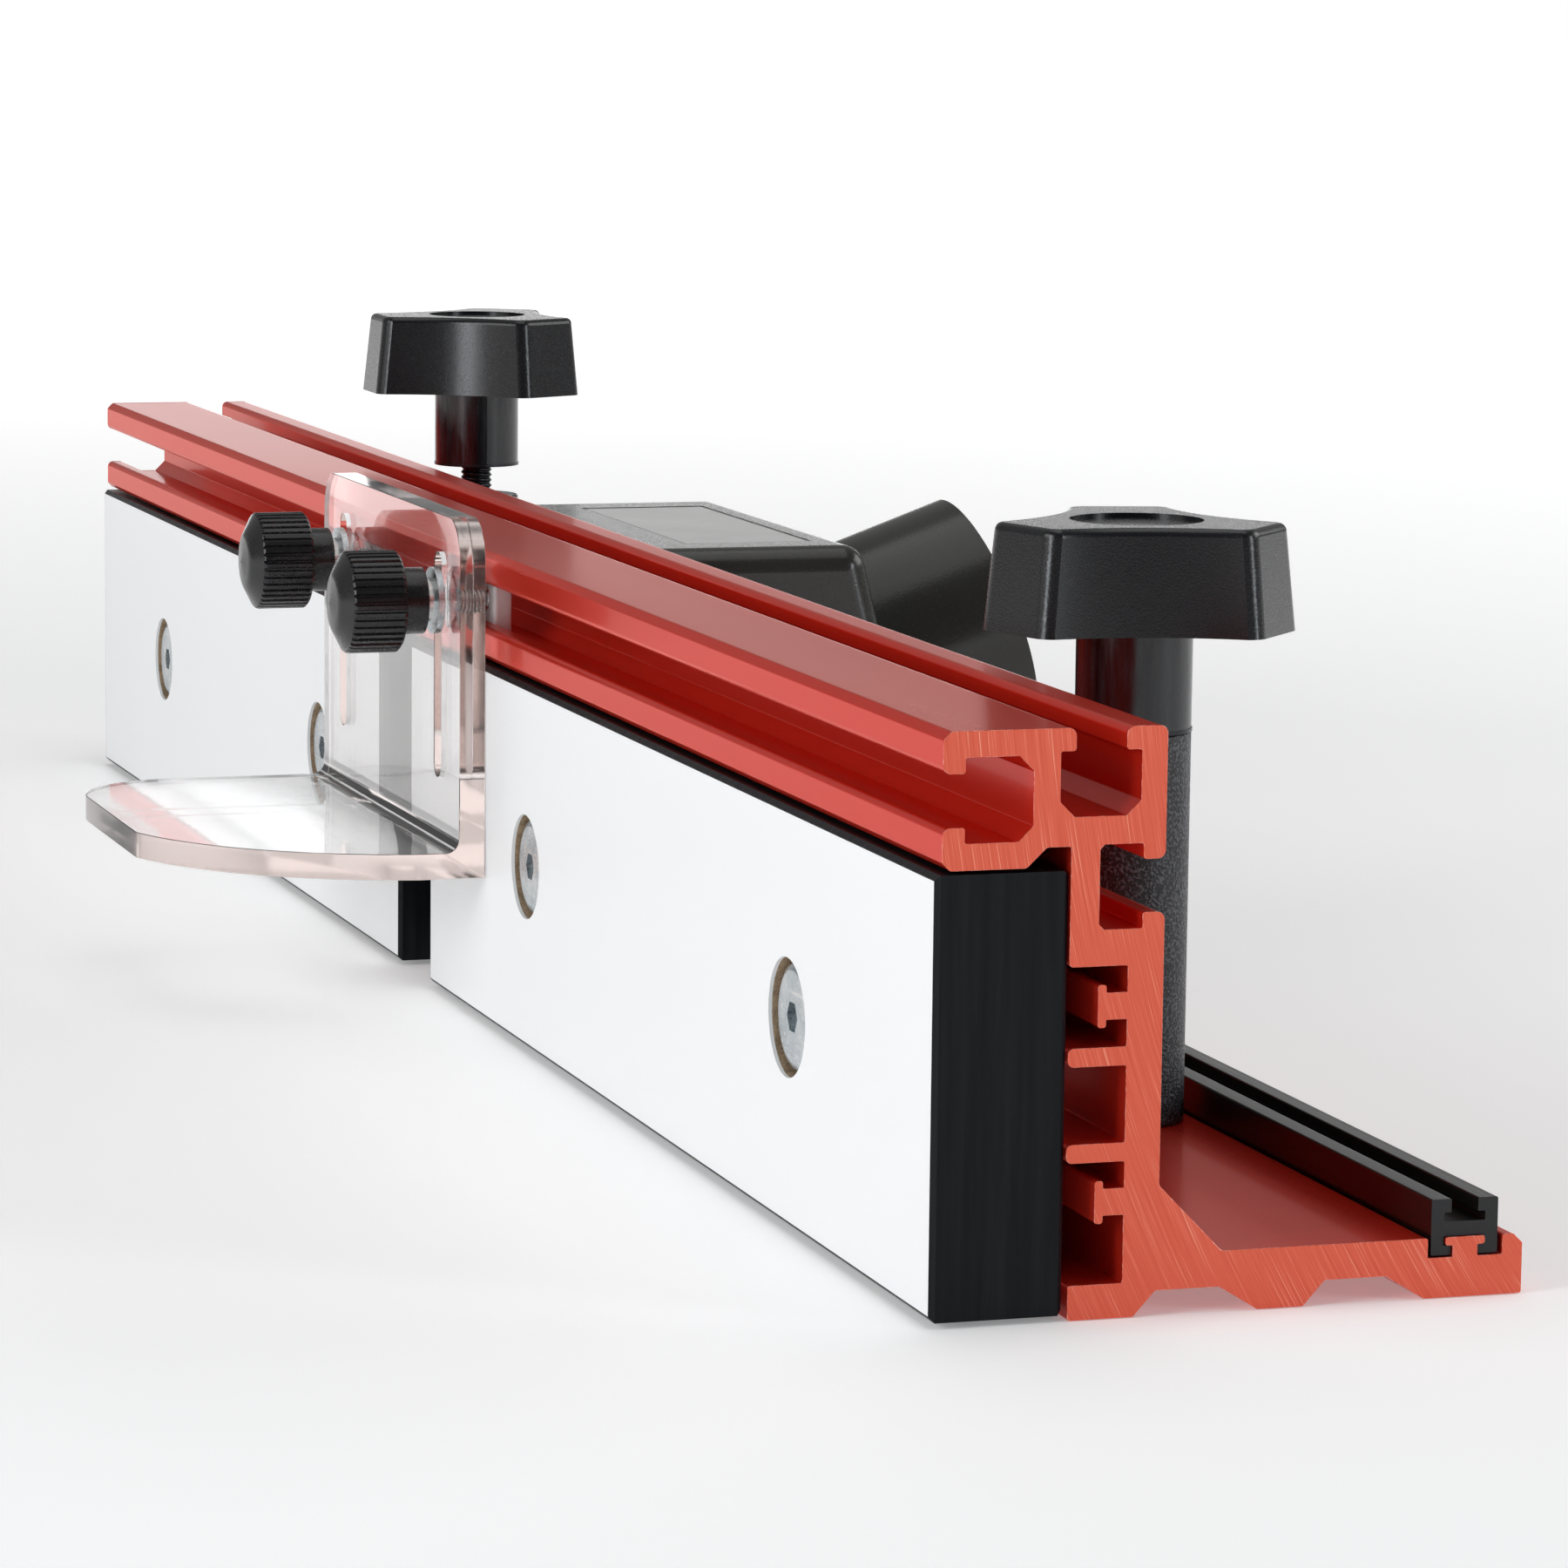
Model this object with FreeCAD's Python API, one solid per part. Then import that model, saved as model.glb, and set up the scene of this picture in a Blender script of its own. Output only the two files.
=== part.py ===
"""Router table fence: an extruded aluminium fence with two sliding faces, a clear bit guard on the
front T-slot, a dust port behind the bit opening, two clamp knobs on tall sleeves and two jointing
packers stored on the base.

Frame, in millimetres: X runs along the fence with 0 at its middle, Y is 0 on the front of the faces
and grows to the rear, Z is 0 on the table that the fence stands on.
"""
import FreeCAD, Part
import math
import os

V = FreeCAD.Vector
X_AXIS = V(1, 0, 0)
Y_AXIS = V(0, 1, 0)
Z_AXIS = V(0, 0, 1)

# ---------------------------------------------------------------- clearances
seat_gap = 0.3            # between a face board and the ribs that it slides on
slide_gap = 0.1           # between flat faces that slide on each other
packer_gap = 0.25         # all round a T-rib inside a packer
thread_gap = 0.08         # radial, screw in its insert, drawn without threads
bolt_hole_gap = 0.5       # radial, bolt in a plain hole
sleeve_gap = 0.6          # radial, clamp stud in its sleeve
face_top_gap = 0.8        # between a board's top edge and the front slot's block above it
overshoot = 1.0           # how far a cutting shape runs past the faces that it opens
touch = 1e-5              # points closer than this are one point

# ---------------------------------------------------------------- fence extrusion
fence_length = 813.0
fence_height = 115.4
slot_mouth = 10.4         # the three T-slots share mouth, cavity width and lip
slot_cavity = 16.6
slot_lip = 4.4
slot_bevel = 3.0          # bevel in the far corners of a cavity
rear_slot_bevel = 1.0     # the rear slot is nearly square
front_slot_depth = 18.3   # from the lips' outer face to the cavity's floor
top_slot_depth = 17.2
rear_slot_depth = 13.4
top_flange = 5.0          # metal above the front slot's cavity
slot_wall = 5.1           # metal below the front slot and behind the top slot
slot_web = 5.4            # metal between the top slot's floor and the rear slot
shelf_thick = 7.0         # metal below the rear slot
lip_front_y = 1.2         # front plane of the front slot's lips
lip_round = 1.6
block_depth = 17.0        # flat underside of the front slot's block
block_ledge_run = 4.1     # slope up to the ledge behind it
block_ledge_rise = 3.9
wall_thickness = 7.2
channel_depth = 12.0      # rib plane to the wall's front
rib_thickness = 3.6
upper_rib_share = 0.744   # heights of the ribs as shares of the shelf's height
lower_rib_share = 0.4725
upper_t_rib_share = 0.886
lower_t_rib_share = 0.332
foot_top_z = 6.8
foot_setback = 0.8        # front foot behind the rib plane
base_reach = 77.0         # base's rear edge behind the wall
base_top_z = 12.0
web_slope_top_z = 25.6    # where the slope from the base meets the wall
web_slope_run = 13.2
recess_z = 5.0            # ceiling of the two hollows under the base
foot_edges = (14.2, 40.2, 49.7, 75.4)   # ends of the feet, behind the rib plane
recess_lead_front = 4.6   # length of the slopes into and out of each hollow
recess_lead_back = 8.1
base_bevel = 1.9
small_round = 0.5
fine_round = 0.2          # inner corners of grooves and packers
groove_round = 0.3
rib_round = 1.2           # noses of the two plain ribs
edge_round = 0.8          # edges of the slots' blocks

# ---------------------------------------------------------------- T-ribs and jointing packers
rib_head_width = 8.3
rib_head_thick = 1.6
rib_neck = 5.2
t_rib_setback = 6.0       # head's face behind the rib plane
base_t_rib_inset = 12.2   # base's T-rib ahead of the base's rear edge
packer_side_wall = 2.95   # packer beside a T-rib's head
groove_side_room = 0.9    # groove beside a packer
groove_depth = 4.0
packer_shortfall = 0.5    # packer shorter than a face board
packer_web = 2.9
packer_end_setback = 0.6
offset_fine = 0.8         # how far a packer pushes the outfeed face out, thin side and thick side
offset_coarse = 1.6

# ---------------------------------------------------------------- face boards
face_gap = 32.0           # between the two boards when both are at rest
face_bottom_z = 1.1
face_thick = 27.0
laminate = 0.8
edging = 1.2
edging_bevel = 1.0
face_bolt_inset = 92.3    # bolt to the nearer end of its board
face_travel_in = 15.0
face_travel_out = 40.0

# ---------------------------------------------------------------- face bolts
bolt_d = 8.0
bolt_head_d = 2.75 * bolt_d
bolt_head_thick = 3.2
bolt_head_recess = 1.2    # head below the board's front
bolt_head_crown = 1.4     # head's face smaller than the head, all round
bolt_head_edge = 0.6
counterbore_room = 1.5    # round a bolt head
bolt_socket_af = 0.75 * bolt_d
bolt_socket_depth = 2.2
bolt_rib_room = 1.2       # between a bolt and the rib above it
washer_d = 2.5 * bolt_d
washer_thick = 1.6
nut_af = bolt_d + 5.0
nut_thick = 6.5
bolt_tail = 2.0           # thread past the nut

# ---------------------------------------------------------------- bit opening
bit_opening = 100.0

# ---------------------------------------------------------------- guard
guard_width = 143.4
guard_thick = 6.4
guard_above_slot = 21.4   # plate's top above the middle of the front slot
guard_below_slot = 65.9   # shelf's underside below the middle of the front slot
guard_reach = 76.0        # shelf's front edge ahead of the faces
guard_face_gap = 0.3      # guard to the faces' front
guard_corner_r = 10.4
guard_bend_r = 3.5
guard_slot_room = 0.6     # radial, screw in the guard's slots
guard_slot_up = 11.9      # ends of the guard's slots above and below the front slot
guard_slot_down = 43.7
guard_bolt_pitch = 100.0
shelf_straight = 16.5     # straight part of the shelf's right side, past the plate
shelf_front_right = 20.0  # right end of the shelf's straight front edge
shelf_bulge = 11.0        # how far the right side's long arc stands out from its chord
shelf_left_r = 29.0

# ---------------------------------------------------------------- guard screws and knurled knobs
tee_bolt_d = 6.0
tee_head_x = 15.0
tee_head_room = 0.5       # above and below the head inside the slot
tee_head_thick = 4.5
guard_washer_d = 16.4
guard_washer_thick = 1.6
spacer_d = 14.0
knurl_d = 25.0
knurl_length = 14.0
knurl_ribs = 40
knurl_depth = 0.55
knurl_profile = ((-0.32, 0), (0.12, 0), (0.28, 1), (0.52, 1))   # share of a step, share of the depth
knurl_dome = 3.0
knurl_dome_share = 0.55   # dome's rim over the knob's radius
knurl_dome_r = 6.0
knurl_edge = 0.8
collar_d = 16.4
collar_length = 6.2
guard_insert_d = 9.0
guard_insert_length = 10.0
boss_step = 1.0           # boss wider than the insert, all round
boss_length = 2.4         # bright end of the insert that stands out of the collar
tee_bolt_reach = 15.0     # thread past the guard's front
guard_bore_spare = 4.0    # room ahead of the screw's end inside the knob

# ---------------------------------------------------------------- dust port
hood_length = 129.2
hood_below_top = 0.9      # hood's top below the fence's
hood_floor_z = 26.5
hood_depth = 52.5         # hood's top behind the wall
hood_back_slope = 14.0    # degrees off upright
hood_wall = 3.0
hood_edge_r = 6.0
hood_inner_r = 3.0
hood_flange = 12.0
hood_flange_thick = 3.0
hood_flange_rise = 4.5    # flange's lower edge above the hood's floor
hood_flange_drop = 5.2    # flange's upper edge below the shelf
hood_screw_share = 0.2    # screw's height in from each end of the flange
hood_screw_inset = 6.0
hood_screw_d = 4.0
hood_screw_length = 10.0
hood_screw_head_d = 7.6
hood_screw_head_thick = 2.6
hood_screw_head_r = 0.9
hood_screw_socket_af = 2.5
hood_screw_socket_depth = 1.5
label_length = 94.0
label_width = 33.0
label_recess = 0.6
label_thick = 0.5
label_back_margin = 9.0
label_gap = 0.2
outlet_d = 63.5
outlet_wall = 2.5
outlet_tilt = 20.0        # degrees, rising to the rear
outlet_rim_back = 53.6    # middle of the outlet's mouth behind the hood's top rear edge
outlet_rim_drop = 24.9    # and below the hood's top
outlet_length = 60.0      # mouth to the spigot's end inside the hood

# ---------------------------------------------------------------- clamp posts
post_end_inset = 128.5    # post to the fence's end
post_behind_wall = 42.1
stud_d = 9.5
stud_bottom_z = 0.6
stud_engage = 28.4        # stud above the washer's top when the knob is down
sleeve_d = 25.0
sleeve_height = 84.8
sleeve_edge = 0.4
thrust_washer_thick = 0.8
thrust_washer_lip = 0.2   # washer proud of the sleeve, all round
shank_length = 21.4
knob_height = 22.9
knob_lobes = 3
knob_tip = 33.0           # lobe's flat end from the axis, at the underside
knob_tip_half = 11.0
knob_lobe_r = 4.5
knob_side_hollow = 4.0
knob_draft = 0.93         # top outline over bottom outline
knob_top_r = 1.8
knob_dish_d = 28.8
knob_dish_depth = 1.0
knob_bore_depth = 33.0
clamp_insert_wall = 1.75
clamp_insert_length = 20.0
left_knob_raised = 9.0    # the left knob stands unscrewed by this much
knob_turn = {"right": 47.0, "left": 29.0}

# ---------------------------------------------------------------- worked out
fence_end_x = fence_length / 2
rib_plane_y = face_thick + seat_gap
wall_front_y = rib_plane_y + channel_depth
fence_back_y = wall_front_y + wall_thickness
base_back_y = fence_back_y + base_reach
base_t_rib_y = base_back_y - base_t_rib_inset
front_slot_z = fence_height - top_flange - slot_cavity / 2
block_bottom_z = front_slot_z - slot_cavity / 2 - slot_wall
rear_slot_z = fence_height - top_slot_depth - slot_web - slot_cavity / 2
top_slot_y = fence_back_y - slot_wall - slot_cavity / 2
shelf_z = rear_slot_z - slot_cavity / 2 - shelf_thick
upper_rib_z = upper_rib_share * shelf_z
lower_rib_z = lower_rib_share * shelf_z
face_inner_x = face_gap / 2
face_length = fence_end_x - face_inner_x
face_top_z = block_bottom_z - face_top_gap
face_bolt_z = upper_rib_z - rib_thickness / 2 - bolt_d / 2 - bolt_rib_room
bolt_hole_d = bolt_d + 2 * bolt_hole_gap
counterbore_d = bolt_head_d + 2 * counterbore_room
packer_length = face_length - packer_shortfall
packer_width = rib_head_width + 2 * packer_side_wall
groove_width = packer_width + 2 * groove_side_room
packer_cavity = rib_head_thick + packer_gap
packer_seat = packer_web + packer_cavity + packer_gap / 2 - t_rib_setback
packer_lip_thick = offset_coarse - packer_seat
packer_lip_thin = offset_fine - packer_seat
guard_back_y = -guard_face_gap
guard_front_y = guard_back_y - guard_thick
guard_top_z = front_slot_z + guard_above_slot
guard_shelf_z = front_slot_z - guard_below_slot
tee_screw_hole_d = tee_bolt_d + 2 * thread_gap
spacer_thick = lip_front_y - guard_back_y
knob_start_y = guard_front_y - slide_gap - guard_washer_thick
guard_bore_length = tee_bolt_reach - slide_gap - guard_washer_thick + guard_bore_spare
hood_top_z = fence_height - hood_below_top
hood_top_back_y = fence_back_y + hood_depth
flange_low_z = hood_floor_z + hood_flange_rise
flange_high_z = shelf_z - hood_flange_drop
post_x = fence_end_x - post_end_inset
post_y = fence_back_y + post_behind_wall
sleeve_bore_d = stud_d + 2 * sleeve_gap
sleeve_top_z = base_top_z + sleeve_height
knob_seat_z = sleeve_top_z + thrust_washer_thick
stud_top_z = knob_seat_z + stud_engage
clamp_insert_d = stud_d + 2 * clamp_insert_wall

SIDES = {"right": 1, "left": -1}


# ---------------------------------------------------------------- shape helpers
def box(x0, x1, y0, y1, z0, z1):
    """Box between two corners."""
    return Part.makeBox(x1 - x0, y1 - y0, z1 - z0, V(x0, y0, z0))


def rod(diameter, length, start, axis):
    """Cylinder that starts at a point and runs along an axis."""
    return Part.makeCylinder(diameter / 2, length, start, axis)


def tube(outer, inner, length, start, axis):
    """Hollow cylinder."""
    return rod(outer, length, start, axis).cut(rod(inner, length, start, axis))


def hexagon(across_flats, length, start, axis):
    """Hexagonal prism along an axis."""
    corner = across_flats / math.sqrt(3)
    turn = FreeCAD.Rotation(Z_AXIS, axis)
    ring = [turn.multVec(V(corner * math.cos(math.radians(a)), corner * math.sin(math.radians(a)), 0))
            for a in range(0, 360, 60)]
    wire = Part.makePolygon([start + p for p in ring] + [start + ring[0]])
    return Part.Face(wire).extrude(axis * length)


def corner_arc(before, corner, after, radius):
    """The two tangent points of a rounded corner and the arc's middle point."""
    to_before = (before - corner).normalize()
    to_after = (after - corner).normalize()
    half = to_before.getAngle(to_after) / 2
    reach = radius / math.tan(half)
    bisector = (to_before + to_after).normalize()
    centre = corner + bisector * (radius / math.sin(half))
    return corner + to_before * reach, centre - bisector * radius, corner + to_after * reach


def rounded_wire(corners, to_3d):
    """Closed wire through corners (u, v, radius), each corner rounded by its radius."""
    points = [to_3d(u, v) for u, v, _ in corners]
    count = len(points)
    edges = []
    first = None
    last = None
    for i, (_, _, radius) in enumerate(corners):
        point = points[i]
        if radius > 0:
            start, middle, end = corner_arc(points[i - 1], point, points[(i + 1) % count], radius)
        else:
            start, middle, end = point, None, point
        if last is not None and last.distanceToPoint(start) > touch:
            edges.append(Part.LineSegment(last, start).toShape())
        if middle is not None:
            edges.append(Part.Arc(start, middle, end).toShape())
        first = start if first is None else first
        last = end
    if last.distanceToPoint(first) > touch:
        edges.append(Part.LineSegment(last, first).toShape())
    return Part.Wire(edges)


def prism_x(corners, x0, x1):
    """Prism along X of an outline given as (y, z, radius)."""
    wire = rounded_wire(corners, lambda y, z: V(x0, y, z))
    return Part.Face(wire).extrude(V(x1 - x0, 0, 0))


def slot_along_x(x0, x1, width, y0, y1, z):
    """Round-ended slot between two end centres, cut along Y."""
    bar = box(x0, x1, y0, y1, z - width / 2, z + width / 2)
    ends = [rod(width, y1 - y0, V(x, y0, z), Y_AXIS) for x in (x0, x1)]
    return bar.fuse(ends)


def slot_along_z(x, z0, z1, width, y0, y1):
    """Round-ended upright slot whose ends, rounding included, are at z0 and z1."""
    low = z0 + width / 2
    high = z1 - width / 2
    bar = box(x - width / 2, x + width / 2, y0, y1, low, high)
    ends = [rod(width, y1 - y0, V(x, y0, z), Y_AXIS) for z in (low, high)]
    return bar.fuse(ends)


def one(solids):
    """Separate solids as one group."""
    return Part.makeCompound(solids)


def revolve_about(corners, start, axis, across):
    """Solid of revolution of an outline (along, radius, rounding) about an axis."""
    wire = rounded_wire(corners, lambda along, radius: start + axis * along + across * radius)
    return Part.Face(wire).revolve(start, axis, 360)


# ---------------------------------------------------------------- fence extrusion
def t_slot(depth, bevel):
    """T-slot outline as (across, deep, radius), from one lip's outer corner to the other's."""
    mouth = slot_mouth / 2
    half = slot_cavity / 2
    left = [(-mouth, 0, lip_round), (-mouth, slot_lip, small_round), (-half, slot_lip, small_round),
            (-half, depth - bevel, small_round), (-half + bevel, depth, small_round)]
    return left + [(-u, v, r) for u, v, r in reversed(left)]


def t_rib(wall, head_face, centre):
    """T-rib outline as (out, along, radius): wall and head face are the values of 'out'."""
    toward = 1 if head_face > wall else -1
    under = head_face - toward * rib_head_thick
    side = [(wall, rib_neck / 2, groove_round), (under, rib_neck / 2, fine_round),
            (under, rib_head_width / 2, small_round), (head_face, rib_head_width / 2, small_round)]
    both = side + [(out, -along, r) for out, along, r in reversed(side)]
    return [(out, centre + along, r) for out, along, r in both]


def base_underside():
    """Feet and hollows under the base, from front to rear."""
    foot_a, foot_b, foot_c, foot_d = (rib_plane_y + edge for edge in foot_edges)
    return [(rib_plane_y + foot_setback, 0, small_round), (foot_a, 0, small_round),
            (foot_a + recess_lead_front, recess_z, small_round),
            (foot_b - recess_lead_back, recess_z, small_round), (foot_b, 0, small_round),
            (foot_c, 0, small_round), (foot_c + recess_lead_front, recess_z, small_round),
            (foot_d - recess_lead_back, recess_z, small_round), (foot_d, 0, small_round),
            (base_back_y, 0, small_round), (base_back_y, base_top_z - base_bevel, small_round)]


def base_top():
    """Base's top from the rear edge to the wall, with the groove that holds the packers."""
    right = base_t_rib_y + groove_width / 2
    left = base_t_rib_y - groove_width / 2
    floor = base_top_z - groove_depth
    rib = [(y, z, r) for z, y, r in t_rib(floor, base_top_z, base_t_rib_y)]
    return [(base_back_y - base_bevel, base_top_z, small_round), (right, base_top_z, small_round),
            (right, floor, groove_round)] + rib + [(left, floor, groove_round),
            (left, base_top_z, small_round), (fence_back_y + web_slope_run, base_top_z, rib_round),
            (fence_back_y, web_slope_top_z, rib_round)]


def front_side():
    """Slotless front of the wall below the front slot: shelf, ribs, channels and T-ribs."""
    half = rib_thickness / 2
    head = rib_plane_y + t_rib_setback
    corners = [(rib_plane_y, shelf_z, edge_round), (wall_front_y, shelf_z, small_round)]
    corners += t_rib(wall_front_y, head, upper_t_rib_share * shelf_z)
    for z in (upper_rib_z, lower_rib_z):
        corners += [(wall_front_y, z + half, small_round), (rib_plane_y, z + half, rib_round),
                    (rib_plane_y, z - half, rib_round), (wall_front_y, z - half, small_round)]
    corners += t_rib(wall_front_y, head, lower_t_rib_share * shelf_z)
    return corners + [(wall_front_y, foot_top_z, small_round),
                      (rib_plane_y + foot_setback, foot_top_z, small_round)]


def fence_outline():
    """Whole section of the extrusion as (y, z, radius)."""
    rear_slot = [(fence_back_y - v, rear_slot_z + u, r)
                 for u, v, r in t_slot(rear_slot_depth, rear_slot_bevel)]
    top_slot = [(top_slot_y - u, fence_height - v, r) for u, v, r in t_slot(top_slot_depth, slot_bevel)]
    front_slot = [(lip_front_y + v, front_slot_z - u, r)
                  for u, v, r in t_slot(front_slot_depth, slot_bevel)]
    nose_y = lip_front_y + lip_round
    slope_y = lip_front_y + block_depth
    ledge_z = block_bottom_z + block_ledge_rise
    block_top = [(nose_y, fence_height, edge_round), (lip_front_y, fence_height - lip_round, edge_round)]
    block_under = [(lip_front_y, block_bottom_z + lip_round, edge_round),
                   (nose_y, block_bottom_z, edge_round), (slope_y, block_bottom_z, rib_round),
                   (slope_y + block_ledge_run, ledge_z, rib_round), (rib_plane_y, ledge_z, small_round)]
    return (base_underside() + base_top() + rear_slot + [(fence_back_y, fence_height, lip_round)]
            + top_slot + block_top + front_slot + block_under + front_side())


def bolt_positions(side):
    """X of the two bolts of one face board, at rest."""
    inner = face_inner_x + face_bolt_inset
    outer = face_inner_x + face_length - face_bolt_inset
    return [side * inner, side * outer]


def face_bolt_slot(x, side):
    """Slot in the wall along which a face bolt slides."""
    ends = sorted((x - side * face_travel_in, x + side * face_travel_out))
    return slot_along_x(ends[0], ends[1], bolt_hole_d, wall_front_y - overshoot,
                        fence_back_y + overshoot, face_bolt_z)


def hood_screw_places():
    """X and Z of the dust hood's screws."""
    reach = hood_length / 2 + hood_screw_inset
    step = hood_screw_share * (flange_high_z - flange_low_z)
    return [(side * reach, z) for side in (1, -1) for z in (flange_low_z + step, flange_high_z - step)]


def fence_body():
    """The extrusion with its bit opening, bolt slots, stud holes and screw holes."""
    body = prism_x(fence_outline(), -fence_end_x, fence_end_x)
    cuts = [box(-bit_opening / 2, bit_opening / 2, 0, fence_back_y, -overshoot, shelf_z)]
    for side in SIDES.values():
        cuts += [face_bolt_slot(x, side) for x in bolt_positions(side)]
        cuts.append(rod(stud_d, base_top_z + 2 * overshoot, V(side * post_x, post_y, -overshoot), Z_AXIS))
    cuts += [rod(hood_screw_d, wall_thickness + 2 * overshoot, V(x, wall_front_y - overshoot, z), Y_AXIS)
             for x, z in hood_screw_places()]
    return body.cut(cuts)


# ---------------------------------------------------------------- jointing packers
def jointing_packer(side):
    """Black strip with a T-shaped channel in each side, stored on the base's T-rib."""
    seat = base_top_z + packer_gap / 2
    low = seat - packer_cavity - packer_lip_thin
    high = seat + packer_web + packer_cavity + packer_lip_thick
    half = packer_width / 2
    channel = rib_head_width / 2 + packer_gap
    mouth = rib_neck / 2 + packer_gap
    lower = [(-mouth, low, fine_round), (-mouth, seat - packer_cavity, fine_round),
             (-channel, seat - packer_cavity, fine_round), (-channel, seat, fine_round)]
    top = seat + packer_web
    upper = [(channel, top, fine_round), (channel, top + packer_cavity, fine_round),
             (mouth, top + packer_cavity, fine_round), (mouth, high, groove_round)]
    outline = ([(half, low, groove_round), (half, high, small_round)] + list(reversed(upper))
               + [(-u, v, r) for u, v, r in upper]
               + [(-half, high, small_round), (-half, low, groove_round)]
               + lower + [(-u, v, r) for u, v, r in reversed(lower)])
    corners = [(base_t_rib_y + u, v, r) for u, v, r in outline]
    outer = fence_end_x - packer_end_setback
    ends = sorted((side * outer, side * (outer - packer_length)))
    return prism_x(corners, ends[0], ends[1])


# ---------------------------------------------------------------- face boards
def board(side, y0, y1, inset):
    """Slab of one face board between two depths, set in from the board's outline."""
    ends = sorted((side * face_inner_x, side * (face_inner_x + face_length)))
    return box(ends[0] + inset, ends[1] - inset, y0, y1, face_bottom_z + inset, face_top_z - inset)


def bolt_holes(side, diameter, y0, y1):
    """Holes for one board's two bolts."""
    return [rod(diameter, y1 - y0, V(x, y0, face_bolt_z), Y_AXIS) for x in bolt_positions(side)]


def face_core(side):
    """Fibreboard core with counterbores for the bolt heads."""
    floor = bolt_head_recess + bolt_head_thick
    core = board(side, laminate, face_thick - laminate, edging)
    core = core.cut(bolt_holes(side, counterbore_d, 0, floor))
    return core.cut(bolt_holes(side, bolt_hole_d, 0, face_thick))


def face_laminate(side, front):
    """White sheet on the front or the back of the core."""
    y0 = 0 if front else face_thick - laminate
    diameter = counterbore_d if front else bolt_hole_d
    return board(side, y0, y0 + laminate, edging).cut(bolt_holes(side, diameter, 0, face_thick))


def face_edging(side):
    """Black band round the board, bevelled front and back."""
    band = board(side, 0, face_thick, 0)
    outer = [edge for edge in band.Edges if abs(edge.CenterOfMass.y) < touch
             or abs(edge.CenterOfMass.y - face_thick) < touch]
    return band.makeChamfer(edging_bevel, outer).cut(board(side, 0, face_thick, edging))


def face_bolt(x):
    """Flat-headed bolt with a hexagon socket, through board and wall."""
    top = bolt_head_recess
    under = top + bolt_head_thick
    end = fence_back_y + slide_gap + washer_thick + nut_thick + bolt_tail
    radius = bolt_head_d / 2
    outline = [(top, 0, 0), (top, radius - bolt_head_crown, edge_round),
               (top + bolt_head_edge, radius, groove_round), (under, radius, 0),
               (under, bolt_d / 2, 0), (end, bolt_d / 2, small_round), (end, 0, 0)]
    bolt = revolve_about(outline, V(x, 0, face_bolt_z), Y_AXIS, X_AXIS)
    return bolt.cut(hexagon(bolt_socket_af, bolt_socket_depth, V(x, top, face_bolt_z), Y_AXIS))


def face_washer(x):
    """Washer behind the wall."""
    start = V(x, fence_back_y + slide_gap, face_bolt_z)
    return tube(washer_d, bolt_d + 2 * thread_gap, washer_thick, start, Y_AXIS)


def face_nut(x):
    """Hexagon nut behind the washer."""
    start = V(x, fence_back_y + slide_gap + washer_thick, face_bolt_z)
    nut = hexagon(nut_af, nut_thick, start, Y_AXIS)
    return nut.cut(rod(bolt_d + 2 * thread_gap, nut_thick, start, Y_AXIS))


# ---------------------------------------------------------------- guard
def guard_shelf():
    """Shelf over the bit: a long arc on its right side, a rounded corner on its left."""
    half = guard_width / 2
    front = -guard_reach
    right_start = V(half, guard_back_y - shelf_straight, guard_shelf_z)
    right_end = V(shelf_front_right, front, guard_shelf_z)
    chord = right_end - right_start
    outward = V(-chord.y, chord.x, 0).normalize()
    middle = (right_start + right_end) * 0.5 + outward * shelf_bulge
    turn = V(-half + shelf_left_r, front, guard_shelf_z)
    rise = V(-half, front + shelf_left_r, guard_shelf_z)
    slant = shelf_left_r * (1 - math.sqrt(0.5))
    knee = V(-half + slant, front + slant, guard_shelf_z)
    back_left = V(-half, guard_back_y, guard_shelf_z)
    back_right = V(half, guard_back_y, guard_shelf_z)
    edges = [Part.LineSegment(back_right, right_start).toShape(),
             Part.Arc(right_start, middle, right_end).toShape(),
             Part.LineSegment(right_end, turn).toShape(),
             Part.Arc(turn, knee, rise).toShape(),
             Part.LineSegment(rise, back_left).toShape(),
             Part.LineSegment(back_left, back_right).toShape()]
    return Part.Face(Part.Wire(edges)).extrude(V(0, 0, guard_thick))


def guard_bend():
    """Fillet that fills the inner corner between plate and shelf."""
    half = guard_width / 2
    top = guard_shelf_z + guard_thick
    fill = box(-half, half, guard_front_y - guard_bend_r, guard_front_y, top, top + guard_bend_r)
    hollow = rod(2 * guard_bend_r, guard_width, V(-half, guard_front_y - guard_bend_r, top + guard_bend_r),
                 X_AXIS)
    return fill.cut(hollow)


def guard_plate():
    """Clear plate bent into an L, with two upright slots for its screws."""
    slot_width = tee_bolt_d + 2 * guard_slot_room
    slot_low = front_slot_z - guard_slot_down
    slot_high = front_slot_z + guard_slot_up
    half = guard_width / 2
    plate = box(-half, half, guard_front_y, guard_back_y, guard_shelf_z, guard_top_z)
    corners = [edge for edge in plate.Edges if abs(edge.CenterOfMass.z - guard_top_z) < touch
               and abs(abs(edge.CenterOfMass.x) - half) < touch]
    plate = plate.makeFillet(guard_corner_r, corners)
    guard = plate.fuse([guard_shelf(), guard_bend()]).removeSplitter()
    slots = [slot_along_z(side * guard_bolt_pitch / 2, slot_low, slot_high, slot_width,
                          guard_front_y, guard_back_y) for side in SIDES.values()]
    return guard.cut(slots)


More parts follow.
